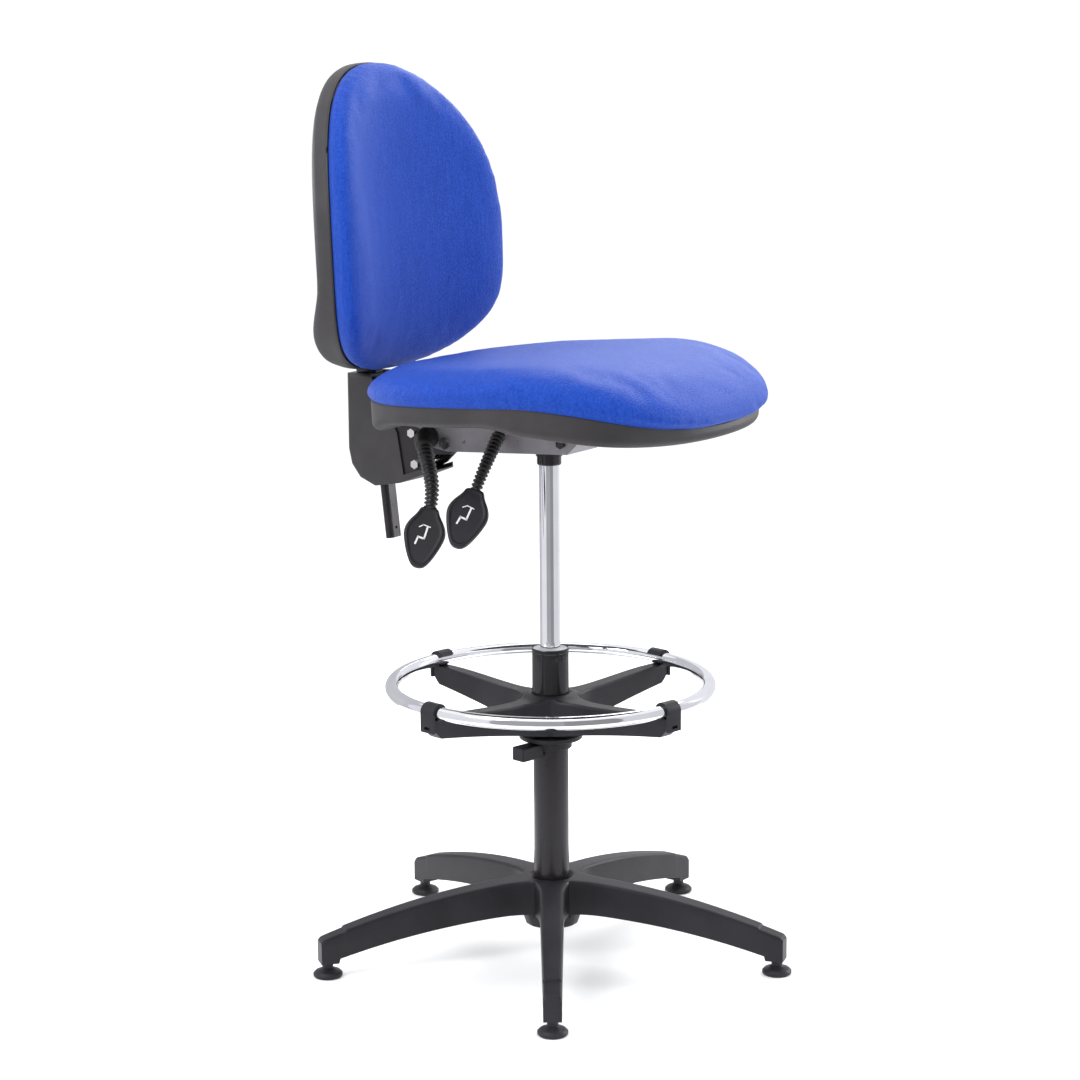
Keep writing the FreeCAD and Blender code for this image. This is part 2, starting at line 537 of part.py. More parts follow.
def paddle_solid(name):
    """A flat spade: a narrow neck, round shoulders and a blunt tip."""
    half = [("0", "8"), ("12", "10"), ("27", "28.5"), ("42", "28.5"), ("Sizes.paddle_long", "8")]
    outline = half + [(along, "-" + across) for along, across in reversed(half)]
    spade = plate(name, "XY_Plane", outline, "12")
    soft = fillet_edges(name + "_corners", spade, 7.0,
                        lambda edge: edge.BoundBox.ZLength > 11 and edge.BoundBox.XMin > 20)
    return fillet_edges(name + "_soft", soft, 3.0, lambda edge: edge.BoundBox.ZLength < 0.1
                        and edge.BoundBox.XMax > 1)


def lever(name, pivot_place, inner_points, outer_points, tip, turn):
    """A bent rod with the cross roll it rocks on, its rubber sleeve and its paddle, from the inside outwards."""
    rod_radius = 4
    pivot = Vector(-size("chassis_half"), *pivot_place)
    cross_roll = Part.makeCylinder(5.5, 8, pivot - Vector(0, 4, 0), Vector(0, 1, 0))
    rod_shape = bent_tube(inner_points + outer_points, rod_radius).fuse(cross_roll)
    keep(built(name + "_steel", rod_shape), name + "_rod")
    neck = outer_points[-1]
    along = (tip - neck).normalize()
    across = Rotation(along, turn).multVec(Vector(0, -1, 0))
    spread = Rotation(along, across, Vector(0, 0, 1), "XYZ")
    start = tip - along * size("paddle_long")
    paddle_place = Placement(start, spread)
    paddle_block = paddle_solid(name + "_spade")
    paddle_block.Placement = paddle_place
    rod_space = built(name + "_rod_space", rod_shape)
    keep(cut(name + "_paddle_cut", paddle_block, rod_space), name + "_paddle")
    route = outer_points[:-1] + [start - along * 1.5]
    sleeve_block = built(name + "_sleeve_block", bent_tube(route, 7.5))
    keep(cut(name + "_sleeve_cut", sleeve_block, rod_space), name + "_sleeve")


paddle_turn = -25
lever("height_lever", (lever_y, lever_z),
      [Vector(-1, 3, 756.6), Vector(-24, 24, 752), Vector(-33, lever_y, 740)],
      [Vector(-46, lever_y, 729), Vector(-80, 48, 697), Vector(-108, 48, 663), Vector(-120, 48, 645)],
      Vector(-155, 48, 593), paddle_turn)
lever("back_lever", (lock_y, lock_z), [Vector(-36.5, lock_y, lock_z)],
      [Vector(-60, 165, 714), Vector(-77, 145, 686), Vector(-94, 126, 650), Vector(-113, 123, 615)],
      Vector(-144.7, 118.7, 557.6), paddle_turn)


# ---------------------------------------------------------------- seat


def smooth(value, start, end):
    """0 before start, 1 after end, with no kink at either."""
    part = min(max((value - start) / (end - start), 0.0), 1.0)
    return part * part * (3 - 2 * part)


def seat_outline(grow, height):
    """A rounded square in plan, wider than deep."""
    half_wide = size("seat_half_wide") + grow
    half_deep = (size("seat_front") + size("seat_rear")) / 2 + grow
    middle = (size("seat_rear") - size("seat_front")) / 2
    power = 2 / 2.7
    count = 26
    points = []
    for index in range(count):
        turn = 2 * math.pi * index / count
        across = math.copysign(abs(math.cos(turn)) ** power, math.cos(turn))
        along = math.copysign(abs(math.sin(turn)) ** power, math.sin(turn))
        points.append(Vector(half_wide * across, middle + half_deep * along, height))
    curve = Part.BSplineCurve()
    curve.interpolate(points, PeriodicFlag=True)
    return Part.Wire(curve.toShape())


def seat_fall(ahead):
    """How far the seat's front edge has curved down, this far ahead of the column."""
    start = 80
    return size("seat_drop") * max((ahead - start) / (size("seat_front") - start), 0) ** 2


def seam_height(ahead):
    return size("seat_seam") - seat_fall(ahead)


def pad_height(ahead):
    thick = size("seat_pad_rear") + (size("seat_pad_front") - size("seat_pad_rear")) * smooth(ahead, -80, 170)
    return seam_height(ahead) + thick


def board_height(ahead):
    return size("seat_board_up") - seat_fall(ahead)


def shell_height(ahead):
    rear_lobe = 14 * (1 - smooth(ahead, -140, -105))
    front_lobe = 11 * smooth(ahead, 62, 110) - 16 * smooth(ahead, 180, 290)
    clear = 1.5
    return board_height(ahead) - clear - size("seat_shell_wall") - rear_lobe - front_lobe


def seat_layer(grow, low, high):
    """The seat's plan, kept between two curves that run from back to front."""
    count = 13
    ends = (-size("seat_rear") - 30, size("seat_front") + 30)
    spots = [ends[0] + (ends[1] - ends[0]) * index / count for index in range(count + 1)]
    edges = []
    curves = []
    for rule in (low, high):
        curve = Part.BSplineCurve()
        curve.interpolate([Vector(-300, -ahead, rule(ahead)) for ahead in spots])
        curves.append(curve)
        edges.append(curve.toShape())
    for parameter in (0, 1):
        spot = [curve.StartPoint if parameter == 0 else curve.EndPoint for curve in curves]
        edges.append(Part.LineSegment(spot[0], spot[1]).toShape())
    band = Part.Face(Part.Wire(Part.__sortEdges__(edges))).extrude(Vector(600, 0, 0))
    prism = Part.Face(seat_outline(grow, -100)).extrude(Vector(0, 0, 400))
    return band.common(prism).Solids[0]


# The plywood's front edge is bevelled underneath, where the shell turns up.
board_block = built("board_block", seat_layer(-10, lambda ahead: board_height(ahead) + 3 * smooth(ahead, 180, 255),
                                              lambda ahead: board_height(ahead) + size("seat_board_thick")))
board_drill = fuse("board_drill", [
    primitive("Cylinder", "nut_hole", {"Radius": "5.5", "Height": "40"},
              (str(x), str(y), "Sizes.chassis_tall - 5")) for x, y in screw_spots])
keep(cut("board_cut", board_block, board_drill), "seat_board", seat_frame)

wall = size("seat_shell_wall")
shell_corner = 12


def rounded_below(skin, radius):
    """Rounds the seat shell's lower rim."""
    rim = [edge for edge in skin.Edges
           if edge.BoundBox.ZMax < size("seat_board_up") + 8 and edge.Length > 300]
    return skin.makeFillet(radius, rim)


shell_skin = rounded_below(seat_layer(0, shell_height, seam_height), shell_corner)
shell_cavity = rounded_below(seat_layer(-wall, lambda ahead: shell_height(ahead) + wall,
                                        lambda ahead: seam_height(ahead) + 20), shell_corner - wall)
shell_block = built("shell_block", shell_skin.cut(shell_cavity))
shell_window = primitive("Box", "shell_window", {"Length": "Sizes.chassis_half * 2 + 8", "Height": "60",
                                                 "Width": "Sizes.chassis_front + Sizes.chassis_rear + 46"},
                         ("-Sizes.chassis_half - 4", "-Sizes.chassis_front - 14", "10"))
keep(cut("seat_shell_cut", shell_block, shell_window), "seat_shell", seat_frame)

pad_gap = 0.6
pad_main = seat_layer(6, lambda ahead: seam_height(ahead) + pad_gap, pad_height)
pad_top_edges = [edge for edge in pad_main.Edges if edge.BoundBox.ZMax > size("seat_seam") + 40]
pad_plug = seat_layer(-wall - 2, lambda ahead: board_height(ahead) + size("seat_board_thick") + 2,
                      lambda ahead: seam_height(ahead) + 2)
keep(built("seat_pad", pad_main.makeFillet(24, pad_top_edges).fuse(pad_plug)), "seat_cushion", seat_frame)

seat_screw = fuse("seat_screw", [
    primitive("Cylinder", "seat_screw_shank", {"Radius": "4", "Height": "14"}, ("0", "0", "Sizes.chassis_tall - 3")),
    primitive("Cylinder", "seat_screw_head", {"Radius": "7", "Height": "4"}, ("0", "0", "Sizes.chassis_tall - 7")),
])
keep(repeated("seat_screws", seat_screw, [Placement(Vector(x, y, 0), Rotation()) for x, y in screw_spots]),
     "seat_fixing_screws", seat_frame)
tee_nut = turned("tee_nut", [
    ("4", "Sizes.chassis_tall + 4"), ("5.5", "Sizes.chassis_tall + 4"),
    ("5.5", "Sizes.seat_board_up + Sizes.seat_board_thick"), ("9", "Sizes.seat_board_up + Sizes.seat_board_thick"),
    ("9", "Sizes.seat_board_up + Sizes.seat_board_thick + 1.2"),
    ("4", "Sizes.seat_board_up + Sizes.seat_board_thick + 1.2"),
])
keep(repeated("tee_nuts", tee_nut, [Placement(Vector(x, y, 0), Rotation()) for x, y in screw_spots]),
     "seat_tee_nuts", seat_frame)

# ---------------------------------------------------------------- back carrier

bracket_outline = [
    ("128", "700"), ("140", "694"), ("165", "692"), ("186", "672"), ("214", "656"), ("284", "650"),
    ("294", "728"), ("228", "730"), ("196", "728"), ("150", "722"), ("130", "716"),
]
bracket_outer = plate("bracket_outer", "YZ_Plane", bracket_outline, "64")
bracket_space = primitive("Box", "bracket_space", {"Length": "56", "Width": "200", "Height": "120"},
                          ("-28", "110", "630"))
bracket_web = primitive("Box", "bracket_web", {"Length": "60", "Width": "26", "Height": "4"}, ("-30", "218", "659"))
world_pivot = seat_frame.multVec(pivot_spot)
bracket_pin_hole = primitive("Cylinder", "bracket_pin_hole", {"Radius": "Sizes.pivot_dia / 2 + 0.06", "Height": "80"},
                             ("-40", str(round(world_pivot.y, 4)), str(round(world_pivot.z, 4))),
                             Rotation(Vector(0, 1, 0), 90))
bolt_spots = [(197, 676), (202, 719)]
bolt_holes = [primitive("Cylinder", "bracket_bolt_hole", {"Radius": "4", "Height": "80"},
                        ("-40", str(y), str(z)), Rotation(Vector(0, 1, 0), 90)) for y, z in bolt_spots]
bracket_cheeks = cut("bracket_cheeks", bracket_outer,
                     fuse("bracket_tools", [bracket_space, bracket_pin_hole] + bolt_holes))
keep(fuse("bracket_whole", [bracket_cheeks, bracket_web]), "back_bracket")
bracket_bolts = [cross_bolt("bracket_bolt%d" % index, "4", "32", "6.5", "4", (str(y), str(z)))
                 for index, (y, z) in enumerate(bolt_spots)]
doc.recompute()
keep(built("bracket_bolt_pair", Part.Compound([bolt.Shape for bolt in bracket_bolts])), "bracket_bolts")


def flat_oval(half_wide, half_thick, long):
    """A bar of flat-oval section, its wide side along X."""
    flat = half_wide - half_thick
    corner = [Vector(-flat, -half_thick, 0), Vector(flat, -half_thick, 0),
              Vector(flat, half_thick, 0), Vector(-flat, half_thick, 0)]
    ends = [Vector(half_wide, 0, 0), Vector(-half_wide, 0, 0)]
    edges = [Part.LineSegment(corner[0], corner[1]).toShape(), Part.Arc(corner[1], ends[0], corner[2]).toShape(),
             Part.LineSegment(corner[2], corner[3]).toShape(), Part.Arc(corner[3], ends[1], corner[0]).toShape()]
    return Part.Face(Part.Wire(edges)).extrude(Vector(0, 0, long))


bar_half = size("bar_wide") / 2
bar_thin = size("bar_thick") / 2
bar_skin = flat_oval(bar_half, bar_thin, size("bar_long"))
bar_core = flat_oval(bar_half - 2, bar_thin - 2, size("bar_long"))
bar_hole = Part.makeCylinder(2.3, 40, Vector(0, -20, 14), Vector(0, 1, 0))
keep(built("bar", bar_skin.cut(bar_core).cut(bar_hole)), "upright_bar", bar_frame)

holder_block = Part.makeBox(56, 30, 62, Vector(-28, -15, 100))
holder_bore = flat_oval(bar_half, bar_thin, size("bar_long"))
keep(built("holder", holder_block.cut(holder_bore)), "bar_holder", bar_frame)

cover_outline = [
    ("311", "796"), ("311", "690"), ("306", "668"), ("292", "650"), ("268", "640"), ("222", "648"),
    ("180", "664"), ("180", "672"), ("216", "660"), ("226", "718"), ("271", "796"),
]
cover_outer = plate("cover_outer", "YZ_Plane", cover_outline, "Sizes.cover_half * 2")
cover_round = fillet_edges("cover_round", cover_outer, 6.0,
                           lambda edge: edge.BoundBox.YMin > 266 and edge.BoundBox.XLength < 1)
cover_space = plate("cover_space", "YZ_Plane", [
    ("308", "793"), ("308", "690"), ("303.5", "669"), ("290", "653"), ("267", "643.5"), ("222", "651"),
    ("150", "676"), ("150", "720"), ("236", "793"),
], "Sizes.cover_half * 2 - 5")
cover_exit = Part.makeBox(34, 22, 140, Vector(-17, -11, 60))
cover_top_exit = Part.makeBox(34, 22, 60, Vector(-17, -11, 215))
cover_exits = built("cover_exits", Part.Compound([cover_exit, cover_top_exit]), bar_frame)
doc.recompute()
keep(cut("cover_cut", cut("cover_hollow", cover_round, cover_space), cover_exits), "upright_cover")

# ---------------------------------------------------------------- backrest


def back_outline(grow, depth):
    """An egg: round at the top, squarer and a little wider below."""
    half_wide = size("back_half_wide") + grow
    widest = 165
    above = size("back_tall") - widest + grow
    below = widest + grow
    count = 28
    points = []
    for index in range(count):
        turn = 2 * math.pi * index / count
        reach, power = (above, 2 / 2.6) if math.sin(turn) > 0 else (below, 2 / 4.1)
        rise = math.copysign(abs(math.sin(turn)) ** power, math.sin(turn))
        points.append(Vector(half_wide * math.cos(turn), depth, widest + reach * rise))
    curve = Part.BSplineCurve()
    curve.interpolate(points, PeriodicFlag=True)
    return Part.Wire(curve.toShape())


def back_layer(name, grow, section):
    """The backrest's outline, kept where a section turned about the sitter's back leaves it."""
    ring = turned(name + "_turned_section", section)
    ring.Placement = Placement(Vector(0, -size("back_curve"), 0), Rotation())
    prism = built(name + "_prism", Part.Face(back_outline(grow, -160)).extrude(Vector(0, 300, 0)))
    return common(name, [ring, prism])


curve_r = "Sizes.back_curve"
rim_r = "Sizes.back_curve + Sizes.back_rim"
low_rim_r = "Sizes.back_curve + Sizes.back_low_rim"
shell_outer = back_layer("back_skin", 0, [
    (curve_r, "-5"), (curve_r + " + 28", "-5"), (low_rim_r, "30"), (low_rim_r, "60"),
    (rim_r, "134"), (rim_r, "Sizes.back_tall + 5"), (curve_r, "Sizes.back_tall + 5"),
])
shell_inner = back_layer("back_cavity", -wall, [
    (curve_r + " - 9", "-5"), (curve_r + " + 24", "-5"), (low_rim_r + " - 3", "31"), (low_rim_r + " - 3", "59"),
    (rim_r + " - 3", "133"), (rim_r + " - 3", "Sizes.back_tall + 5"), (curve_r + " - 9", "Sizes.back_tall + 5"),
])
housing_wide = 50
housing_deep = 36
housing_start = 252
housing_long = 215
in_back = back_frame.inverse().multiply(bar_frame)
housing_outer = built("housing_outer", Part.makeBox(
    housing_wide, housing_deep, housing_long, Vector(-housing_wide / 2, -housing_deep / 2, housing_start)), in_back)
housing_inner = built("housing_inner", Part.makeBox(
    housing_wide - 6, housing_deep + 20, housing_long + 21, Vector(3 - housing_wide / 2, -housing_deep / 2 - 23,
                                                                   housing_start - 24)), in_back)
knob_up = 374
knob_hole = built("knob_hole", Part.makeCylinder(5, 60, Vector(0, 0, knob_up), Vector(0, 1, 0)), in_back)
doc.recompute()
back_prism = built("back_trim", Part.Face(back_outline(0, -160)).extrude(Vector(0, 300, 0)))
housing_trimmed = common("housing_trimmed", [housing_outer, back_prism])
doc.recompute()
shell_whole = fuse("back_shell_whole", [shell_outer, housing_trimmed])
shell_tools = fuse("back_shell_tools", [shell_inner, housing_inner, knob_hole])
keep(cut("back_shell_cut", shell_whole, shell_tools), "back_shell", back_frame)

board_plate = back_layer("back_plate", -wall - 6, [
    (curve_r + " + 0.6", "-5"), (curve_r + " + 10.6", "-5"), (curve_r + " + 10.6", "Sizes.back_tall + 5"),
    (curve_r + " + 0.6", "Sizes.back_tall + 5"),
])
board_notch = primitive("Box", "board_notch", {"Length": "50", "Width": "30", "Height": "86"}, ("-25", "-10", "-5"))
keep(cut("back_board_cut", board_plate, board_notch), "back_board", back_frame)

pad_r = "Sizes.back_curve - Sizes.back_pad"
back_pad_block = back_layer("back_pad_block", 2, [
    (pad_r, "-5"), (pad_r + " - 5", "70"), (pad_r + " - 8", "130"), (pad_r + " - 4", "210"), (pad_r, "290"),
    (pad_r, "Sizes.back_tall + 5"), (curve_r + " - 0.6", "Sizes.back_tall + 5"), (curve_r + " - 0.6", "-5"),
])
back_pad_round = fillet_edges("back_pad_round", back_pad_block, 20.0,
                              lambda edge: edge.BoundBox.Center.y < -45)
keep(back_pad_round, "back_cushion", back_frame)

guide_block = Part.makeBox(43.6, 23.5, 142, Vector(-21.8, -10, 258))
guide_bore = flat_oval(bar_half + 0.3, bar_thin + 0.3, 600)
stud_bore = Part.makeCylinder(4, 60, Vector(0, 0, knob_up), Vector(0, 1, 0))
keep(built("guide", guide_block.cut(guide_bore).cut(stud_bore)), "bar_guide", bar_frame)

# The clamp screw: its stud passes through the housing and stops just short of the bar.
knob_frame = bar_frame.multiply(Placement(Vector(0, bar_thin + 0.3, knob_up), Rotation(Vector(1, 0, 0), -90)))
keep(turned("stud", [("0", "0"), ("3.8", "0"), ("3.8", "42"), ("0", "42")]), "clamp_stud", knob_frame)
keep(turned("knob", [
    ("0", "42"), ("3.8", "42"), ("3.8", "24"), ("9", "24"), ("10", "34"), ("19", "38"), ("21", "41"),
    ("21", "52"), ("17", "56"), ("0", "57"),
]), "back_knob", knob_frame)

# ---------------------------------------------------------------- checks and files

doc.recompute()
failed = [item.Name for item in doc.Objects if "Invalid" in item.State or "Error" in item.State]
if failed:
    raise RuntimeError("failed objects: " + ", ".join(failed))
for item in kept:
    if item.Shape.isNull() or not item.Shape.isValid():
        raise RuntimeError("bad shape: " + item.Label)
os.makedirs("parts", exist_ok=True)
for item in kept:
    item.Shape.exportStep("parts/%s.step" % item.Label)
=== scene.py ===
"""Drafting chair: the looks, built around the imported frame. Sizes are millimetres unless they say metres."""
import json
import math

import bmesh
import bpy
from mathutils import Matrix, Vector


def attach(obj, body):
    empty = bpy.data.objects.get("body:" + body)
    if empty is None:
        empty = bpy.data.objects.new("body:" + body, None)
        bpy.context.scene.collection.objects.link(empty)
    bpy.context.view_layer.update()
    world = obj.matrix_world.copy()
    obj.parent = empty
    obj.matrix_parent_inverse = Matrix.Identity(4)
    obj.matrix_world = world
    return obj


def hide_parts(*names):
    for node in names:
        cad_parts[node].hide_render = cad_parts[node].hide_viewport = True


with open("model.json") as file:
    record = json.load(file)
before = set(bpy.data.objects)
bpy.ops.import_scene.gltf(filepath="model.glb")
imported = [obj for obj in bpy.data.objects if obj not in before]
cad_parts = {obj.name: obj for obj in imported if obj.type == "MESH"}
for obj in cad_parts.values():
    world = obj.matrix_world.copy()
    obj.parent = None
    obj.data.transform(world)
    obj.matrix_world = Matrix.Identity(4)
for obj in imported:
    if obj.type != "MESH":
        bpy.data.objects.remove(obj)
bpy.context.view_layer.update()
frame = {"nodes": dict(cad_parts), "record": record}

MM = 0.001
NODES = frame["nodes"]

# ---------------------------------------------------------------- the frames that the pieces are built in


def leaning(origin, degrees):
    """A frame in metres whose local millimetres lean back about X."""
    return Matrix.Translation(Vector(origin) * MM) @ Matrix.Rotation(-math.radians(degrees), 4, "X")


SEAT_TILT = 3
BAR_LEAN = 6.5
BACK_LEAN = 2.6
SEAT_FRAME = leaning((0, 0, 706), SEAT_TILT)
BAR_FRAME = leaning((0, 259, 563), BAR_LEAN)
BACK_FRAME = leaning((0, 270, 801), BACK_LEAN)
WORLD_FRAME = Matrix.Identity(4)


def smooth(value, start, end):
    """0 before start, 1 after end, with no kink at either."""
    part = min(max((value - start) / (end - start), 0.0), 1.0)
    return part * part * (3 - 2 * part)


def mix(low, high, part):
    """The value that lies a part of the way from low to high."""
    return low + (high - low) * part


# ---------------------------------------------------------------- materials


class Nodes:
    """A short way to wire a material's nodes."""

    def __init__(self, name, base, rough, metal=0.0):
        self.material = bpy.data.materials.new(name)
        self.material.use_nodes = True
        self.tree = self.material.node_tree
        self.shader = self.tree.nodes["Principled BSDF"]
        self.set(self.shader, {"Base Color": (*base, 1), "Roughness": rough, "Metallic": metal})
        self.place = self.tree.nodes.new("ShaderNodeTexCoord").outputs["Object"]

    def set(self, node, values):
        for key, value in values.items():
            node.inputs[key].default_value = value

    def new(self, kind, links=None, values=None, **options):
        """A node, with sockets linked into it and values set on it."""
        node = self.tree.nodes.new("ShaderNode" + kind)
        for key, value in options.items():
            setattr(node, key, value)
        self.set(node, values or {})
        for key, socket in (links or {}).items():
            self.tree.links.new(socket, node.inputs[key])
        return node

    def feed(self, socket, name):
        self.tree.links.new(socket, self.shader.inputs[name])

    def noise(self, scale, detail=3.0, rough=0.5, stretch=None):
        """Noise fixed to the object, drawn out along an axis where stretch is less than 1."""
        place = self.place
        if stretch:
            place = self.new("Mapping", {"Vector": place}, {"Scale": stretch}).outputs["Vector"]
        return self.new("TexNoise", {"Vector": place}, {"Scale": scale, "Detail": detail, "Roughness": rough})

    def spread(self, socket, low, high, from_low=0.0, from_high=1.0):
        """Moves a value's range to another."""
        return self.new("MapRange", {"Value": socket}, {
            "From Min": from_low, "From Max": from_high, "To Min": low, "To Max": high}).outputs["Result"]

    def tints(self, socket, dark, light):
        """A colour between two, by a value from 0 to 1."""
        ramp = self.new("ValToRGB", {"Fac": socket})
        ramp.color_ramp.elements[0].color = (*dark, 1)
        ramp.color_ramp.elements[1].color = (*light, 1)
        return ramp.outputs["Color"]

    def maths(self, operation, first, second=None):
        node = self.new("Math", operation=operation)
        for index, value in enumerate((first, second)):
            if hasattr(value, "node"):
                self.tree.links.new(value, node.inputs[index])
            elif value is not None:
                node.inputs[index].default_value = value
        return node.outputs[0]

    def bump(self, socket, strength, depth):
        node = self.new("Bump", {"Height": socket}, {"Strength": strength, "Distance": depth})
        self.feed(node.outputs["Normal"], "Normal")


def moulded_plastic(name, dark, light, rough, grain, depth, shine=0.28):
    """Moulded plastic: fine spark-eroded grain, slightly uneven gloss and colour."""
    made = Nodes(name, dark, rough)
    fine = made.noise(grain, 2.0, 0.6)
    broad = made.noise(14, 4.0)
    made.feed(made.tints(made.spread(broad.outputs["Fac"], 0, 1, 0.3, 0.7), dark, light), "Base Color")
    made.feed(made.spread(fine.outputs["Fac"], rough - 0.07, rough + 0.1, 0.3, 0.7), "Roughness")
    made.bump(fine.outputs["Fac"], 0.35, depth)
    made.set(made.shader, {"Specular IOR Level": shine})
    return made.material


def metal(name, dark, light, rough, stretch, depth):
    """Plated or polished metal with faint drawn lines and small changes of gloss."""
    made = Nodes(name, light, rough, 1.0)
    lines = made.noise(60, 3.0, 0.6, stretch)
    cloud = made.noise(9, 3.0)
    made.feed(made.tints(made.spread(cloud.outputs["Fac"], 0, 1, 0.3, 0.7), dark, light), "Base Color")
    made.feed(made.spread(lines.outputs["Fac"], rough * 0.7, rough * 1.5, 0.3, 0.7), "Roughness")
    made.bump(lines.outputs["Fac"], 0.12, depth)
    return made.material


def satin_paint(name, colour, rough):
    """Powder coat: a soft orange peel."""
    made = Nodes(name, colour, rough)
    peel = made.noise(900, 2.0, 0.5)
    wear = made.noise(25, 4.0)
    made.feed(made.tints(made.spread(wear.outputs["Fac"], 0, 1, 0.35, 0.65), colour,
                         tuple(part * 1.35 for part in colour)), "Base Color")
    made.feed(made.spread(wear.outputs["Fac"], rough - 0.06, rough + 0.08, 0.3, 0.7), "Roughness")
    made.bump(peel.outputs["Fac"], 0.25, 0.0003)
    made.set(made.shader, {"Specular IOR Level": 0.3, "Coat Weight": 0.1, "Coat Roughness": 0.2})
    return made.material


def woven_fabric():
    """Blue crepe weave: crossing threads seen along whichever axis the cloth faces, over a soft mottle."""
    made = Nodes("woven_blue", (0.012, 0.045, 0.38), 0.52)
    thread = 2 * math.pi / 0.0024
    parts = made.new("SeparateXYZ", {"Vector": made.place}).outputs
    facing = made.new("SeparateXYZ", {"Vector": made.new("NewGeometry").outputs["Normal"]}).outputs
    wobble = made.spread(made.noise(260, 2.0).outputs["Fac"], -0.9, 0.9)
    waves = {axis: made.maths("SINE", made.maths("ADD", made.maths("MULTIPLY", parts[axis], thread), wobble))
             for axis in "XYZ"}
    woven = None
    for axis, pair in (("X", "YZ"), ("Y", "XZ"), ("Z", "XY")):
        share = made.maths("POWER", made.maths("ABSOLUTE", facing[axis]), 4.0)
        cloth = made.maths("MULTIPLY", made.maths("MULTIPLY", waves[pair[0]], waves[pair[1]]), share)
        woven = cloth if woven is None else made.maths("ADD", woven, cloth)
    mottle = made.spread(made.noise(360, 3.0, 0.7).outputs["Fac"], -1, 1, 0.3, 0.7)
    streaks = made.spread(made.noise(160, 3.0, 0.7, (1, 1, 0.12)).outputs["Fac"], -1, 1, 0.25, 0.75)
    raised = made.maths("ADD", woven, made.maths("MULTIPLY", mottle, 0.7))
    tone = made.maths("ADD", raised, made.maths("MULTIPLY", streaks, 0.35))
    shown = made.spread(tone, 0, 1, -1.5, 1.5)
    made.feed(made.tints(shown, (0.002, 0.016, 0.19), (0.024, 0.09, 0.51)), "Base Color")
    made.bump(raised, 0.6, 0.0006)
    made.set(made.shader, {"Sheen Weight": 0.12, "Sheen Roughness": 0.4, "Sheen Tint": (0.4, 0.55, 1, 1),
                           "Specular IOR Level": 0.2, "Specular Tint": (0.2, 0.4, 1, 1)})
    return made.material


def rubber(name):
    """Matt black rubber with a fine skin."""
    made = Nodes(name, (0.012, 0.012, 0.013), 0.5)
    skin = made.noise(1200, 2.0)
    made.feed(made.spread(skin.outputs["Fac"], 0.36, 0.56, 0.3, 0.7), "Roughness")
    made.bump(skin.outputs["Fac"], 0.2, 0.0003)
    return made.material


def birch_ply():
    """Raw birch plywood, its grain along Y."""
    made = Nodes("birch_ply", (0.55, 0.38, 0.22), 0.65)
    grain = made.noise(30, 5.0, 0.6, (1, 0.08, 4))
    made.feed(made.tints(grain.outputs["Fac"], (0.42, 0.27, 0.15), (0.68, 0.5, 0.32)), "Base Color")
    made.bump(grain.outputs["Fac"], 0.3, 0.0004)
    return made.material


def printed_white():
    """White ink, slightly worn."""
    made = Nodes("printed_white", (0.75, 0.75, 0.75), 0.5)
    ink = made.noise(900, 2.0)
    cover = made.spread(ink.outputs["Fac"], 0, 1, 0.3, 0.6)
    made.feed(made.tints(cover, (0.5, 0.5, 0.5), (0.85, 0.85, 0.85)), "Base Color")
    return made.material


MATERIALS = {
    "black_nylon": moulded_plastic("black_nylon", (0.009, 0.008, 0.011), (0.018, 0.017, 0.022),
                                   0.42, 1400, 0.0003),
    "shell_plastic": moulded_plastic("shell_plastic", (0.028, 0.026, 0.028), (0.042, 0.039, 0.042),
                                     0.46, 1100, 0.0004),
    "gloss_black": moulded_plastic("gloss_black", (0.006, 0.006, 0.007), (0.01, 0.01, 0.012),
                                   0.14, 1600, 0.00008, 0.5),
    "black_paint": satin_paint("black_paint", (0.012, 0.010, 0.012), 0.3),
    "chrome": metal("chrome", (0.78, 0.79, 0.82), (0.93, 0.93, 0.95), 0.06, (1, 1, 0.05), 0.00005),
    "bright_zinc": metal("bright_zinc", (0.6, 0.6, 0.6), (0.8, 0.8, 0.79), 0.22, (1, 1, 1), 0.0001),
    "spring_steel": metal("spring_steel", (0.22, 0.22, 0.23), (0.42, 0.42, 0.43), 0.3, (1, 1, 0.1), 0.0001),
    "grey_plastic": moulded_plastic("grey_plastic", (0.42, 0.42, 0.44), (0.55, 0.55, 0.57),
                                    0.4, 1300, 0.0002),
    "rubber": rubber("rubber"),
    "plywood": birch_ply(),
    "blue_fabric": woven_fabric(),
}
PRINT = printed_white()
# The chassis's paint is a much lighter copy of the black paint: its grey is painted reflection of the light
# off the glossy side plates.
CHASSIS_PAINTED_REFLECTION = satin_paint("black_paint_painted_reflection", (0.16, 0.153, 0.168), 0.32)

# ---------------------------------------------------------------- mesh helpers


def shade(item, angle=35):
    """Smooth faces, with the sharp edges kept."""
    for face in item.data.polygons:
        face.use_smooth = True
    with bpy.context.temp_override(object=item, active_object=item, selected_objects=[item],
                                   selected_editable_objects=[item]):
        bpy.ops.object.shade_smooth_by_angle(angle=math.radians(angle))


def piece(name, verts, faces, slot, body, place=WORLD_FRAME, replaced=(), angle=35, material=None):
    """A mesh from local millimetres, put in its frame, on its body, with its slot's material."""
    mesh = bpy.data.meshes.new(name)
    mesh.from_pydata([place @ (Vector(vert) * MM) for vert in verts], [], faces)
    edit = bmesh.new()
    edit.from_mesh(mesh)
    bmesh.ops.remove_doubles(edit, verts=edit.verts, dist=1e-5)
    bmesh.ops.recalc_face_normals(edit, faces=edit.faces)
    edit.to_mesh(mesh)
    edit.free()
    item = bpy.data.objects.new(name, mesh)
    bpy.context.scene.collection.objects.link(item)
    mesh.materials.append(material or MATERIALS[slot])
    shade(item, angle)
    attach(item, body)
    if replaced:
        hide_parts(*replaced)
    return item


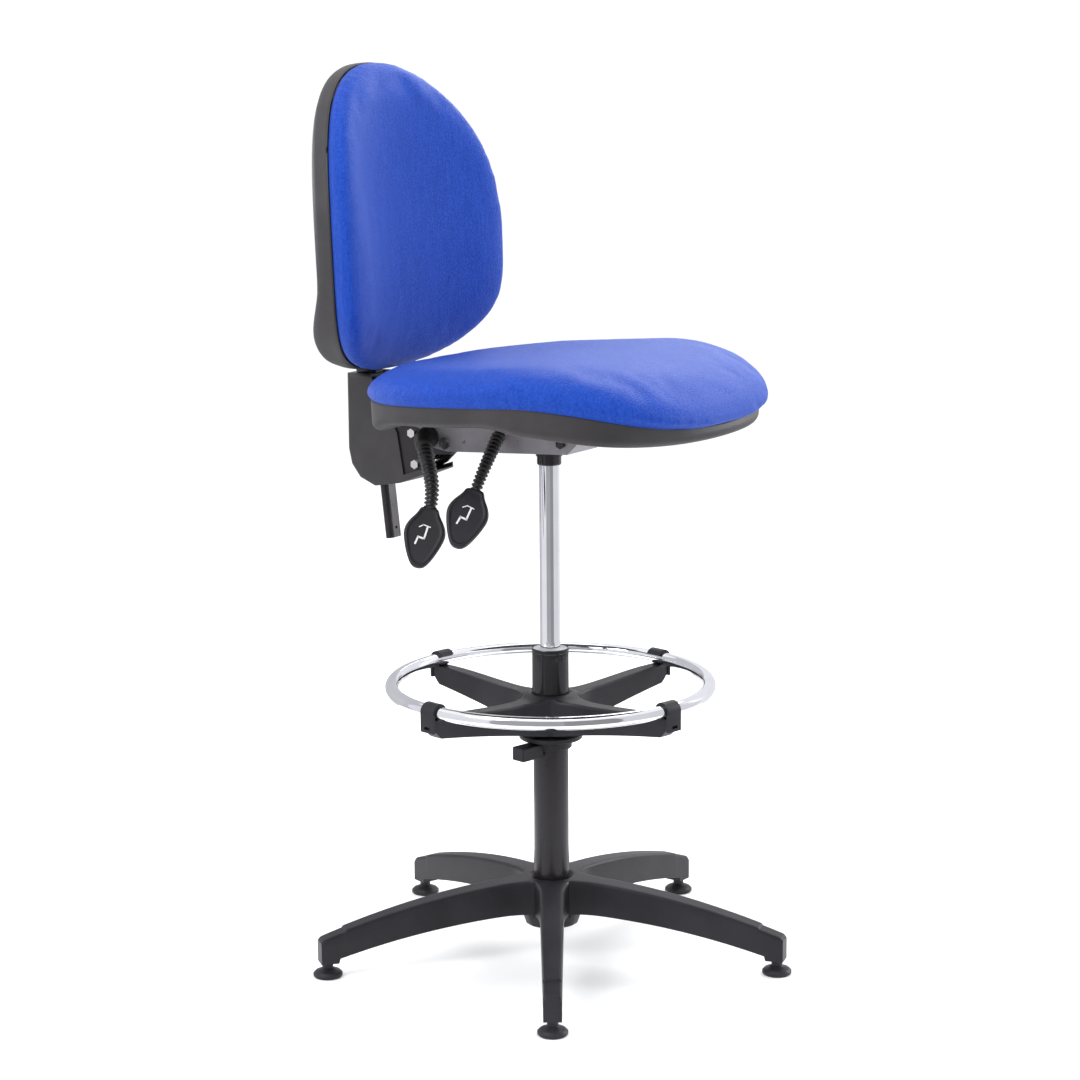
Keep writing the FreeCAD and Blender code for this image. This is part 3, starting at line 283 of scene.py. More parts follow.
def modify(item, kind, **settings):
    """Adds a modifier and applies it."""
    modifier = item.modifiers.new(kind.lower(), kind)
    for key, value in settings.items():
        setattr(modifier, key, value)
    depsgraph = bpy.context.evaluated_depsgraph_get()
    done = bpy.data.meshes.new_from_object(item.evaluated_get(depsgraph))
    item.modifiers.clear()
    item.data = done
    return item


def rings_faces(count, rings, closed=False):
    """Quads between rings of the same number of points, each ring closed on itself."""
    last = rings if closed else rings - 1
    return [(ring * count + index, ring * count + (index + 1) % count,
             (ring + 1) % rings * count + (index + 1) % count, (ring + 1) % rings * count + index)
            for ring in range(last) for index in range(count)]


def capped(count, rings):
    """The same, with an n-gon on the first ring and the last."""
    faces = rings_faces(count, rings)
    faces.append(tuple(reversed(range(count))))
    faces.append(tuple(range((rings - 1) * count, rings * count)))
    return faces


def rungs(count, first, flip=False):
    """Fills a ring of a left-right symmetrical outline, which starts on the right, by rungs across it."""
    quarter = count // 4
    faces = []
    for index in range(-quarter, quarter):
        far = count // 2 - index
        rung = [index % count, (index + 1) % count, (far - 1) % count, far % count]
        face = tuple(first + spot for spot in dict.fromkeys(rung))
        faces.append(tuple(reversed(face)) if flip else face)
    return faces


def laddered(count, rings):
    """Rings closed by an n-gon at the first and by rungs at the last."""
    return rings_faces(count, rings) + [tuple(reversed(range(count)))] + rungs(count, (rings - 1) * count)


def curve_points(points, spacing=2.0):
    """Evenly spaced points and directions along a smooth curve steered by given points, in millimetres."""
    curve = bpy.data.curves.new("route", "CURVE")
    curve.dimensions = "3D"
    spline = curve.splines.new("NURBS")
    spline.points.add(len(points) - 1)
    for spot, point in zip(spline.points, points):
        spot.co = (*point, 1)
    spline.order_u = 3
    spline.use_endpoint_u = True
    spline.resolution_u = 24
    holder = bpy.data.objects.new("route", curve)
    mesh = bpy.data.meshes.new_from_object(holder)
    raw = [vert.co.copy() for vert in mesh.vertices]
    bpy.data.objects.remove(holder)
    bpy.data.meshes.remove(mesh)
    bpy.data.curves.remove(curve)
    lengths = [0.0]
    for first, second in zip(raw, raw[1:]):
        lengths.append(lengths[-1] + (second - first).length)
    count = max(2, int(lengths[-1] / spacing))
    result = []
    at = 0
    for step in range(count + 1):
        want = lengths[-1] * step / count
        while at < len(raw) - 2 and lengths[at + 1] < want:
            at += 1
        span = max(lengths[at + 1] - lengths[at], 1e-9)
        ahead = (raw[at + 1] - raw[at]).normalized()
        result.append((raw[at].lerp(raw[at + 1], (want - lengths[at]) / span), ahead, want))
    return result


def tube(route, radius_at, count=24):
    """Rings of points round a route; radius_at gives the radius at each distance along it."""
    verts = []
    side = Vector((0, 1, 0))
    for spot, ahead, distance in route:
        side = (side - ahead * side.dot(ahead)).normalized()
        other = ahead.cross(side)
        radius = radius_at(distance)
        verts += [spot + (side * math.cos(turn) + other * math.sin(turn)) * radius
                  for turn in (2 * math.pi * index / count for index in range(count))]
    return verts


def turned(profile, count=48):
    """Rings of points round Z from (radius, height) pairs."""
    return [Vector((radius * math.cos(turn), radius * math.sin(turn), height))
            for radius, height in profile
            for turn in (2 * math.pi * index / count for index in range(count))]


def superellipse(half_wide, half_deep, power, count):
    """Points round a rounded square."""
    points = []
    for index in range(count):
        turn = 2 * math.pi * index / count
        points.append((half_wide * math.copysign(abs(math.cos(turn)) ** (2 / power), math.cos(turn)),
                       half_deep * math.copysign(abs(math.sin(turn)) ** (2 / power), math.sin(turn))))
    return points


def closed_tube(points, radius, count=10):
    """A round bead along a closed loop of points."""
    verts = []
    total = len(points)
    for index in range(total):
        before = Vector(points[index - 1])
        after = Vector(points[(index + 1) % total])
        ahead = (after - before).normalized()
        side = Vector((0, 0, 1)) if abs(ahead.z) < 0.9 else Vector((1, 0, 0))
        side = (side - ahead * side.dot(ahead)).normalized()
        other = ahead.cross(side)
        verts += [Vector(points[index]) + (side * math.cos(turn) + other * math.sin(turn)) * radius
                  for turn in (2 * math.pi * part / count for part in range(count))]
    return verts, rings_faces(count, total, closed=True)


def cut_box(item, place, low, high):
    """Cuts a box, given in a frame's millimetres, out of a piece."""
    bpy.ops.mesh.primitive_cube_add(size=1)
    tool = bpy.context.object
    centre = (Vector(low) + Vector(high)) / 2
    tool.matrix_world = place @ Matrix.Translation(centre * MM) @ Matrix.Diagonal(
        ((Vector(high) - Vector(low)) * MM).to_4d())
    bpy.context.view_layer.update()
    modify(item, "BOOLEAN", object=tool, operation="DIFFERENCE", solver="EXACT")
    bpy.data.objects.remove(tool)
    shade(item, 40)


# ---------------------------------------------------------------- five-legged base and footring spider


def spider(name, arms, first_turn, stations, half_wide, top, low, channel, body, replaced):
    """Arms that run out from a hub as one moulding, hollow underneath. At each distance from the axis,
    half_wide, top and low give its section, and channel how far up the hollow goes, 0 to 1."""
    channel_side = 0.66
    across = (-1, -0.97, -0.86, -0.7, -channel_side, 0, channel_side, 0.7, 0.86, 0.97, 1)
    bevel = {1: 4.2, 0.97: 2.4, 0.86: 0.5}
    roof_thick = 4
    verts = []
    faces = []
    wide = len(across)
    layer = wide * len(stations)
    hub = hub_reach(arms, half_wide, stations)
    for arm in range(arms):
        turn = math.radians(first_turn + 360 / arms * arm)
        start = len(verts)
        for under in (False, True):
            for radius in stations:
                for part in across:
                    angle = math.pi / arms * part
                    if radius > hub:
                        widest = math.sin(math.pi / arms) * abs(part)
                        angle = math.asin(min(half_wide(radius) * part / radius, widest))
                    high = top(radius) - (0 if radius <= hub else bevel.get(abs(part), 0))
                    if under:
                        roof = top(radius) - roof_thick
                        inside = abs(part) <= channel_side
                        high = mix(low(radius), roof, channel(radius)) if inside else low(radius)
                    verts.append((radius * math.cos(turn + angle), radius * math.sin(turn + angle), high))
        for row in range(len(stations) - 1):
            for column in range(wide - 1):
                first = start + row * wide + column
                second = first + wide
                faces.append((first, second, second + 1, first + 1))
                faces.append((first + layer, first + 1 + layer, second + 1 + layer, second + layer))
            if stations[row + 1] > hub:
                for column in (0, wide - 1):
                    first = start + row * wide + column
                    second = first + wide
                    faces.append((first, first + layer, second + layer, second))
        for row in (0, len(stations) - 1):
            for column in range(wide - 1):
                first = start + row * wide + column
                faces.append((first, first + 1, first + 1 + layer, first + layer))
    return piece(name, verts, faces, "black_nylon", body, replaced=replaced, angle=32)


def hub_reach(arms, half_wide, stations):
    """The last station whose sections still meet their neighbours."""
    return max(radius for radius in stations if half_wide(radius) >= radius * math.sin(math.pi / arms) - 1e-6)


def arched(radius, start, end, high, low, rise):
    """A shallow arch between two heights."""
    part = min(max((radius - start) / (end - start), 0), 1)
    return mix(high, low, part) + rise * 4 * part * (1 - part)


LEG_REACH = 332
LEG_COUNT = 5
BASE_HUB = 41
BASE_RIBS = (95, 150, 205, 260)
SPOKE_COUNT = 4
SPOKE_HUB = 36
SPOKE_RIBS = (90, 140, 190)


def arm_half_wide(radius, count, hub, root, tip, length, blend):
    """Half an arm's width: it tapers evenly, and flares over a blend to meet its neighbours at the hub."""
    if radius <= hub:
        return radius
    straight = mix(root, tip, (radius - hub) / length)
    meet = hub * math.sin(math.pi / count)
    return straight + (meet - root) * max((hub + blend - radius) / blend, 0) ** 2


def rib_share(radius, ribs):
    """1 in the channel between two ribs, 0 at a rib."""
    return 1 - smooth(max(1 - abs(radius - spot) / 3 for spot in ribs), 0, 0.6)


def rib_stations(ribs):
    """Distances from the axis that catch both sides of each rib."""
    return {spot + step for spot in ribs for step in (-3, -1.2, 1.2, 3)}


def base_half_wide(radius):
    """Half the width of a leg."""
    return arm_half_wide(radius, LEG_COUNT, BASE_HUB, 17, 12, LEG_REACH - BASE_HUB, 35)


def base_top(radius):
    """The leg's upper face: arched, with a shallow step near its end."""
    step = 2.2 * smooth(radius, 297, 299)
    lip = 3.5 * (1 - smooth(radius, 25.5, 31))
    nose = 3 * smooth(radius, 328, LEG_REACH)
    return arched(radius, 32, LEG_REACH, 111, 55.5, 10.5) - step - lip - nose


def base_low(radius):
    """The leg's lower edge: a skirt at the hub and a flat foot."""
    skirt = 19 * (1 - smooth(radius, 37, 44))
    foot = smooth(radius, 306, 308)
    return mix(arched(radius, 32, 308, 63, 26, 9) - skirt, 20, foot)


def base_channel(radius):
    """How open the leg's underside is."""
    return smooth(radius, 44, 52) * (1 - smooth(radius, 298, 303)) * rib_share(radius, BASE_RIBS)


base_hub_stations = {25.2, 27, 29, 31, 34, 37, BASE_HUB, 43, 46, 50, 55, 61, 68, 76, 86}
base_foot_stations = {297, 298, 299, 303, 306, 307, 308, 318, 327, 329.5, 331, LEG_REACH}
base_stations = sorted(base_hub_stations | base_foot_stations | set(range(92, 297, 12))
                       | rib_stations(BASE_RIBS))
spider("star_base_moulding", LEG_COUNT, 212, base_stations, base_half_wide, base_top, base_low, base_channel,
       "base", ("star_base",))


def spoke_half_wide(radius):
    """Half the width of a footring arm."""
    return arm_half_wide(radius, SPOKE_COUNT, SPOKE_HUB, 13.5, 10.5, 190, 34)


def spoke_top(radius):
    """The arm's upper face, raised round the sleeve."""
    raised = 5 * (1 - smooth(radius, 30, 44))
    return mix(366.5, 373.4, smooth(radius, 60, 204)) + raised - 1.5 * (1 - smooth(radius, 25.5, 28))


def spoke_low(radius):
    """The arm's lower edge."""
    return arched(radius, SPOKE_HUB, 224, 317, 349, 2) + 9 * smooth(radius, 214, 225.5)


def spoke_channel(radius):
    """How open the arm's underside is."""
    return smooth(radius, 42, 50) * (1 - smooth(radius, 203, 208)) * rib_share(radius, SPOKE_RIBS)


spoke_hub_stations = {25.4, 27, 29, 32, SPOKE_HUB, 38, 41, 44, 48, 53, 60, 70, 80}
spoke_end_stations = {203, 205, 208, 214, 219, 223, 225.5}
spoke_stations = sorted(spoke_hub_stations | spoke_end_stations | set(range(90, 203, 14))
                        | rib_stations(SPOKE_RIBS))
spider("footring_spider", SPOKE_COUNT, 167, spoke_stations, spoke_half_wide, spoke_top, spoke_low,
       spoke_channel, "footring_carriage", ("footring_hub",))

# ---------------------------------------------------------------- seat

SEAT_FRONT = 270
SEAT_REAR = 209
SEAT_HALF_WIDE = 238
SEAT_MIDDLE = (SEAT_REAR - SEAT_FRONT) / 2
SEAT_HALF_DEEP = (SEAT_REAR + SEAT_FRONT) / 2
SEAT_SEAM = 84
SEAT_DROP = 42
SEAT_FLAT_TO = 80


def seam_height(ahead):
    """Where the cushion meets the shell's rim: level at the rear, falling towards the front."""
    return SEAT_SEAM - SEAT_DROP * max((ahead - SEAT_FLAT_TO) / (SEAT_FRONT - SEAT_FLAT_TO), 0) ** 2


def pad_thickness(ahead):
    """The cushion's height over the seam, from its rear to its front."""
    return mix(44, 48, smooth(ahead, -80, 170))


def seat_ring(grow, count=120):
    """The seat's outline in plan, grown by a margin."""
    return [(x, SEAT_MIDDLE + y) for x, y in
            superellipse(SEAT_HALF_WIDE + grow, SEAT_HALF_DEEP + grow, 2.7, count)]


def seat_pad():
    """The cushion: tucked into the shell, bulging over its rim, then crowned across the top.
    The profile gives how far in from the outline, and what part of the thickness above the seam."""
    profile = [(11, -0.12), (9, -0.02), (6.4, 0.03), (2.6, 0.12), (0.5, 0.25), (0, 0.38), (1.2, 0.52),
               (5, 0.67), (12, 0.8), (24, 0.905), (42, 0.965), (66, 0.99), (95, 1.0), (130, 1.0),
               (165, 1.0), (200, 1.0)]
    outer = seat_ring(6)
    verts = []
    for inset, rise in profile:
        for x, y in outer:
            reach = math.hypot(x, y - SEAT_MIDDLE)
            soft = 1 + 0.5 * smooth(y, 90, 190) * (inset > 4)
            scale = 1 - min(inset * soft, reach * 0.94) / reach
            px = x * scale
            fuller = 12 * smooth(-y, 120, 250) * smooth(rise, 0.03, 0.3) * (1 - smooth(rise, 0.6, 0.96))
            py = SEAT_MIDDLE + (y - SEAT_MIDDLE) * scale - fuller
            dish = 5 * (1 - smooth(abs(px), 20, 190)) * smooth(py, -120, 60) * (1 - smooth(py, 100, 200))
            height = seam_height(-py) + pad_thickness(-py) * rise - dish
            verts.append((px, py, height))
    return verts, laddered(len(outer), len(profile))


# The cloth's grid and the furthest it may move, in metres; the dark bead round each cushion, which is painted
# shade standing in for the shadow line at the seam, in millimetres.
VOXEL = 0.006
CLOTH_CAP = 0.004
CLOTH_FRAMES = 14
SHADOW_LINE_INSET = 1.6
SHADOW_LINE_RADIUS = 1.5


def cloth_settle(item, held):
    """Stuffs a pad: remeshed evenly, blown up a little as cloth, and never moved further than the cap.
    held gives, at each place, how firmly the cloth is pinned there, 0 to 1."""
    modify(item, "REMESH", mode="VOXEL", voxel_size=VOXEL)
    start = [vert.co.copy() for vert in item.data.vertices]
    pinned = item.vertex_groups.new(name="held")
    for index, spot in enumerate(start):
        pinned.add([index], held(spot), "REPLACE")
    cloth = item.modifiers.new("cloth", "CLOTH")
    cloth.settings.quality = 4
    cloth.settings.mass = 0.3
    cloth.settings.tension_stiffness = 18
    cloth.settings.compression_stiffness = 18
    cloth.settings.bending_stiffness = 1.5
    cloth.settings.use_pressure = True
    cloth.settings.uniform_pressure_force = 3.0
    cloth.settings.vertex_group_mass = "held"
    cloth.settings.effector_weights.gravity = 0
    cloth.point_cache.frame_start = 1
    cloth.point_cache.frame_end = CLOTH_FRAMES
    scene = bpy.context.scene
    for moment in range(1, CLOTH_FRAMES + 1):
        scene.frame_set(moment)
    settled = item.evaluated_get(bpy.context.evaluated_depsgraph_get()).to_mesh()
    moved = [vert.co.copy() for vert in settled.vertices]
    item.modifiers.clear()
    scene.frame_set(1)
    for vert, before, after in zip(item.data.vertices, start, moved):
        step = after - before
        limit = CLOTH_CAP * (1 - held(before))
        vert.co = before + step * min(1, limit / max(step.length, 1e-9))
    item.vertex_groups.clear()
    relax = item.modifiers.new("relax", "CORRECTIVE_SMOOTH")
    relax.iterations = 6
    relax.use_only_smooth = True
    done = bpy.data.meshes.new_from_object(item.evaluated_get(bpy.context.evaluated_depsgraph_get()))
    item.modifiers.clear()
    item.data = done
    item.modifiers.new("fine", "SUBSURF").levels = 1
    item.modifiers["fine"].render_levels = 1
    for face in item.data.polygons:
        face.use_smooth = True
    return item


verts, faces = seat_pad()
seat_cushion = piece("seat_pad", verts, faces, "blue_fabric", "seat_unit", SEAT_FRAME, ("seat_cushion",), 180)
TO_SEAT = SEAT_FRAME.inverted()


def seat_held(spot):
    """1 below the seam and in the shell, 0 on the open cloth."""
    local = (TO_SEAT @ spot) / MM
    above = local.z - seam_height(-local.y)
    return 1 - smooth(above, 6, 22)


cloth_settle(seat_cushion, seat_held)

# A dark bead along the seat's seam: painted shade, standing in for the shadow line between cushion and shell.
seam = [(x, y, seam_height(-y) + 0.4) for x, y in seat_ring(-SHADOW_LINE_INSET, 160)]
verts, faces = closed_tube(seam, SHADOW_LINE_RADIUS)
piece("seat_seam_painted_shadow", verts, faces, "rubber", "seat_unit", SEAT_FRAME)

# ---------------------------------------------------------------- backrest

BACK_TALL = 421
BACK_HALF_WIDE = 188
BACK_WIDEST = 165
BACK_CURVE = 326
BACK_PAD = 36


def back_ring(grow, count=112):
    """The backrest's outline: round at the top, squarer below."""
    points = []
    for index in range(count):
        turn = 2 * math.pi * index / count
        upper = math.sin(turn) > 0
        reach = (BACK_TALL - BACK_WIDEST if upper else BACK_WIDEST) + grow
        power = 2.6 if upper else 3.4
        rise = math.copysign(abs(math.sin(turn)) ** (2 / power), math.sin(turn))
        points.append(((BACK_HALF_WIDE + grow) * math.cos(turn), BACK_WIDEST + reach * rise))
    return points


def on_back(across, up, depth):
    """A point on the curved back; depth is how far it stands in front of the shell's rim."""
    return Vector((across, math.sqrt((BACK_CURVE - depth) ** 2 - across ** 2) - BACK_CURVE, up))


def lumbar(up):
    """The swell of the cushion at the small of the back."""
    return 8 * smooth(up, 20, 130) * (1 - smooth(up, 150, 290))


def inward(points, inset, limit=0.95):
    """Points moved towards the middle of the back's outline."""
    moved = []
    for across, up in points:
        middle = min(max(up, 110), 260)
        reach = math.hypot(across, up - middle) or 1
        scale = 1 - min(inset, reach * limit) / reach
        moved.append((across * scale, middle + (up - middle) * scale))
    return moved


def back_pad():
    """The cushion: tucked behind the rim, a full rounded edge, then a curved face with a lumbar swell.
    The profile gives how far in from the outline, and what part of the thickness before the rim."""
    profile = [(10, -0.05), (7, 0.0), (3.2, 0.03), (0.8, 0.14), (0, 0.3), (0.6, 0.46), (3.6, 0.63),
               (9.5, 0.79), (19, 0.905), (33, 0.965), (52, 0.99), (78, 1.0), (108, 1.0), (140, 1.0),
               (168, 1.0)]
    outer = back_ring(2)
    verts = []
    for inset, part in profile:
        for (across, up) in inward(outer, inset):
            full = BACK_PAD + lumbar(up) * smooth(inset, 6, 60)
            verts.append(on_back(across, up, full * part + 0.4))
    return verts, laddered(len(outer), len(profile))


verts, faces = back_pad()
back_cushion = piece("back_pad", verts, faces, "blue_fabric", "backrest", BACK_FRAME, ("back_cushion",), 180)
TO_BACK = BACK_FRAME.inverted()


def back_held(spot):
    """1 at the rim and behind it, 0 on the open cloth."""
    local = (TO_BACK @ spot) / MM
    depth = BACK_CURVE - math.hypot(local.x, local.y + BACK_CURVE)
    return 1 - smooth(depth, 4, 18)


cloth_settle(back_cushion, back_held)

# A dark bead along the backrest's seam: painted shade, standing in for the shadow line between cushion and
# shell.
seam = [on_back(across, up, 0.2) for across, up in back_ring(-SHADOW_LINE_INSET, 150)]
verts, faces = closed_tube(seam, SHADOW_LINE_RADIUS)
piece("back_seam_painted_shadow", verts, faces, "rubber", "backrest", BACK_FRAME)


def back_rim_depth(up):
    """How far the shell's flat rear stands behind its rim."""
    return mix(mix(24, 38, smooth(up, -8, 28)), 23, smooth(up, 50, 132))


def back_shell():
    """The moulded rear shell: a soft-edged pan with a lip that holds the cushion.
    Its two profiles give how far in from the outline, and what part of the depth behind the rim."""
    wall = 3
    profile = [(4, -0.02), (1.2, 0.0), (0, 0.05), (0.2, 0.4), (0.8, 0.7), (2.6, 0.87), (6.5, 0.965),
               (13, 1.0), (40, 1.01), (80, 1.02), (120, 1.02), (160, 1.02)]
    outer = back_ring(0)
    verts = []
    for inset, part in profile:
        for across, up in inward(outer, inset):
            verts.append(on_back(across, up, -back_rim_depth(up) * part))
    inner = [(160, 0.94), (100, 0.94), (20, 0.9), (7, 0.8), (4, 0.4)]
    for inset, part in inner:
        for across, up in inward(outer, inset):
            verts.append(on_back(across, up, -(back_rim_depth(up) - wall) * part))
    count = len(outer)
    rings = len(profile) + len(inner)
    faces = rings_faces(count, rings, closed=True)
    middle = (len(profile) - 1) * count
    del faces[middle:middle + count]
    return verts, faces + rungs(count, middle) + rungs(count, middle + count, True)


verts, faces = back_shell()
back_pan = piece("back_shell_pan", verts, faces, "shell_plastic", "backrest", BACK_FRAME, ("back_shell",), 40)
cut_box(back_pan, BAR_FRAME, (-22, -14, 228), (22, 15, 460))


def bar_housing():
    """The spine on the back of the shell that the upright bar slides in: open below, sloped at its top."""
    half_wide, deep, wall, inner_top = 25, 18, 3, 457
    stations = [(237, 0, 0), (239, 0, 0), (330, 0, 0), (400, 0, 0), (438, 0, 0), (452, 1, 1.5), (460, 4, 4),
                (465, 9, 8), (467, 15, 12)]
    count = 28
    verts = []

    def ring(up, inset, lower, shrink):
        wide = half_wide - inset - shrink
        rear = deep - lower - shrink
        front = -8 + shrink
        middle, reach = (rear + front) / 2, (rear - front) / 2
        for x, y in superellipse(wide, reach, 5, count):
            verts.append((x, middle + y, up))

    for up, inset, lower in stations:
        ring(up, inset, lower, 0)
    for up, inset, lower in reversed(stations[:-2]):
        ring(min(up, inner_top), inset, lower, wall)
    rings = len(stations) * 2 - 2
    faces = rings_faces(count, rings)
    top = (len(stations) - 1) * count
    del faces[top:top + count]
    faces.append(tuple(range(top, top + count)))
    faces.append(tuple(reversed(range(top + count, top + 2 * count))))
    last = (rings - 1) * count
    faces += [((index + 1) % count, index, last + index, last + (index + 1) % count)
              for index in range(count)]
    return piece("bar_housing", verts, faces, "shell_plastic", "backrest", BAR_FRAME, angle=50)


bar_housing()

KNOB_PLACE = Vector((0, 6.8, 374))
KNOB_FRAME = BAR_FRAME @ Matrix.Translation(KNOB_PLACE * MM) @ Matrix.Rotation(math.radians(-90), 4, "X")


def clamp_knob():
    """A five-lobed clamping knob with a soft rim. Its profile gives radius and distance from the bar."""
    profile = [(3.8, 26), (8.6, 26), (9.2, 33), (11, 37), (17, 38.5), (20.4, 41), (21, 45), (21, 50),
               (19.8, 53.6), (17, 55.6), (12, 56.4), (10.5, 55.6), (9, 55.4), (0.2, 55.4)]
    count = 90
    verts = []
    for radius, height in profile:
        lobed = smooth(radius, 11, 19)
        for index in range(count):
            turn = 2 * math.pi * index / count
            reach = radius * (1 - 0.075 * lobed * (1 - math.cos(5 * turn)))
            verts.append((reach * math.cos(turn), reach * math.sin(turn), height))
    return piece("clamp_knob_grip", verts, capped(count, len(profile)), "black_nylon", "back_clamp",
                 KNOB_FRAME, ("back_knob",))


clamp_knob()

# ---------------------------------------------------------------- levers


def bellows(name, points, wide, narrow, body, replaced):
    """A corrugated rubber sleeve that narrows towards the paddle."""
    route = curve_points(points, 0.55)
    total = route[-1][2]
    pitch, ridge, sides = 6.2, 2.6, 22

    def radius_at(distance):
        swell = max(0.0, math.cos(2 * math.pi * distance / pitch)) ** 0.7
        ends = min(distance, total - distance, 3) / 3
        return mix(wide, narrow, distance / total) - ridge + ridge * swell * ends

    verts = tube(route, radius_at, sides)
    return piece(name, verts, capped(sides, len(route)), "rubber", body, replaced=replaced, angle=60)


PADDLE_LONG = 86
PADDLE_MIDDLE = 40
PADDLE_WIDTHS = [(0, 12), (6, 13.5), (12, 16.5), (19, 22), (27, 26.6), (35, 28.6), (43, 28), (54, 24.6),
                 (68, 19), (79, 13), (84.5, 8), (86.5, 3)]


def paddle_outline(inset):
    """The spade: a narrow neck, round shoulders and a blunt tip; inset is how far inside its edge."""
    near_side = []
    for along, half in PADDLE_WIDTHS:
        reach = math.hypot(along - PADDLE_MIDDLE, half)
        factor = max(reach - inset, 0.5) / reach
        near_side.append((PADDLE_MIDDLE + (along - PADDLE_MIDDLE) * factor, half * factor))
    return near_side + [(along, -half) for along, half in reversed(near_side)]


def paddle(name, neck, tip, turn, body, replaced):
    """A lever's paddle: a soft-edged spade with a raised border and a chair sign printed on its face."""
    neck, tip = Vector(neck), Vector(tip)
    along = (tip - neck).normalized()
    across = Matrix.Rotation(math.radians(turn), 3, along) @ Vector((0, -1, 0))
    across = (across - along * across.dot(along)).normalized()
    outwards = along.cross(across)
    start = (tip - along * PADDLE_LONG) * MM
    place = Matrix.Translation(start) @ Matrix((along, across, outwards)).transposed().to_4x4()
    face_side = 1 if outwards.x < 0 else -1
    levels = [(3.2, -6), (0.8, -4.6), (0, -2), (0, 2), (0.7, 4.4), (2.4, 5.9), (5.0, 6.1), (6.2, 5.1),
              (8, 4.9)]
    rings = [[(x, y, height * face_side) for x, y in paddle_outline(inset)] for inset, height in levels]
    verts = [vert for ring in rings for vert in ring]
    item = piece(name, verts, capped(len(rings[0]), len(levels)), "black_nylon", body, place, replaced, 50)
    item.modifiers.new("soft", "SUBSURF").levels = 2
    item.modifiers["soft"].render_levels = 2
    lift = 5.15 * face_side
    ink = 0.35 * face_side
    figure_half, lever_half = 1.25, 0.7
    strokes = [
        ((30, 3), (46, 1.5), figure_half), ((46, 1.5), (44.5, -7), figure_half),
        ((44.5, -7), (54, -9), figure_half), ((29, 6.5), (27, -3), lever_half),
        ((27, -3), (30.5, -8), lever_half),
    ]
    verts = []
    faces = []
    for first, second, half in strokes:
        first, second = Vector(first), Vector(second)
        ahead = (second - first).normalized()
        side = Vector((-ahead.y, ahead.x)) * half
        base = len(verts)
        corners = (first - side - ahead * half, second - side + ahead * half, second + side + ahead * half,
                   first + side - ahead * half)
        verts += [(corner.x, corner.y, lift + extra) for extra in (0, ink) for corner in corners]
        faces += [tuple(base + spot for spot in face) for face in
                  ((0, 3, 2, 1), (4, 5, 6, 7), (0, 1, 5, 4), (1, 2, 6, 5), (2, 3, 7, 6), (3, 0, 4, 7))]
    piece(name + "_sign", verts, faces, "black_nylon", body, place, material=PRINT)
    return item


HEIGHT_NECK, HEIGHT_TIP = (-120, 48, 645), (-155, 48, 593)
BACK_NECK, BACK_TIP = (-113, 123, 615), (-144.7, 118.7, 557.6)


def paddle_mouth(neck, tip):
    """Where a bellows ends, just inside its paddle's neck."""
    ahead = (Vector(tip) - Vector(neck)).normalized()
    return tuple(Vector(tip) - ahead * (PADDLE_LONG - 3))


bellows("height_lever_bellows", [(-44, 50, 731), (-58, 49.5, 718), (-80, 48, 697), (-98, 48, 676),
                                 paddle_mouth(HEIGHT_NECK, HEIGHT_TIP)], 9.8, 8, "height_lever",
        ("height_lever_sleeve",))
bellows("back_lever_bellows", [(-56, 166, 714.5), (-64, 161, 708), (-77, 145, 686), (-93, 126, 654),
                               paddle_mouth(BACK_NECK, BACK_TIP)], 11.6, 9.4, "back_lever",
        ("back_lever_sleeve",))


def lever_boot():
    """The smooth rubber cap over the barrel, where the back lever leaves the chassis."""
    route = curve_points([(-41, 169, 717), (-50, 167.5, 716), (-58, 165, 713.5), (-66, 159, 706)], 1.5)
    total = route[-1][2]

    def radius_at(distance):
        return 15.5 - 3 * smooth(distance, 4, total) - 3 * smooth(distance, total - 3, total)

    piece("back_lever_boot", tube(route, radius_at), capped(24, len(route)), "rubber", "back_lever", angle=50)


lever_boot()
paddle("height_lever_grip", HEIGHT_NECK, HEIGHT_TIP, -25, "height_lever", ("height_lever_paddle",))
paddle("back_lever_grip", BACK_NECK, BACK_TIP, -25, "back_lever", ("back_lever_paddle",))

# ---------------------------------------------------------------- small details


def disc_plug(name, angle, height):
    """A small dark moulded plug let into the footring sleeve."""
    radius = 25.1
    turn = math.radians(angle)
    place = Matrix.Translation(Vector((radius * math.cos(turn), radius * math.sin(turn), height)) * MM) @ \
        Matrix.Rotation(turn, 4, "Z") @ Matrix.Rotation(math.radians(90), 4, "Y")
    profile = [(0.3, -1), (2.6, -1), (2.6, 0.5), (2.0, 0.9), (1.4, 0.6), (0.3, 0.6)]
    piece(name, turned(profile, 20), capped(20, len(profile)), "black_nylon", "footring_carriage", place)


disc_plug("sleeve_plug_left", 230, 421)
disc_plug("sleeve_plug_right", 256, 421)

# ---------------------------------------------------------------- the frame's own pieces keep their shape

for name, item in NODES.items():
    slot = next(row["material_slot"] for row in frame["record"]["subparts"] if row["node"] == name)
    item.data.materials.clear()
    # The chassis takes the lightened paint, whose grey is painted reflection.
    item.data.materials.append(CHASSIS_PAINTED_REFLECTION if name == "mechanism_chassis" else MATERIALS[slot])
    shade(item, 32)

EDGE_RADII = {"mechanism_chassis": 0.7, "back_bracket": 0.7, "bar_holder": 1.2, "upright_cover": 1.6,
              "lock_collar": 1.0, "ring_clips": 1.0}
for name, radius in EDGE_RADII.items():
    edge = NODES[name].modifiers.new("edge", "BEVEL")
    edge.width = radius * MM
    edge.segments = 2
    edge.limit_method = "ANGLE"
    edge.angle_limit = math.radians(40)
    edge.harden_normals = True

# ---------------------------------------------------------------- stage, light and camera


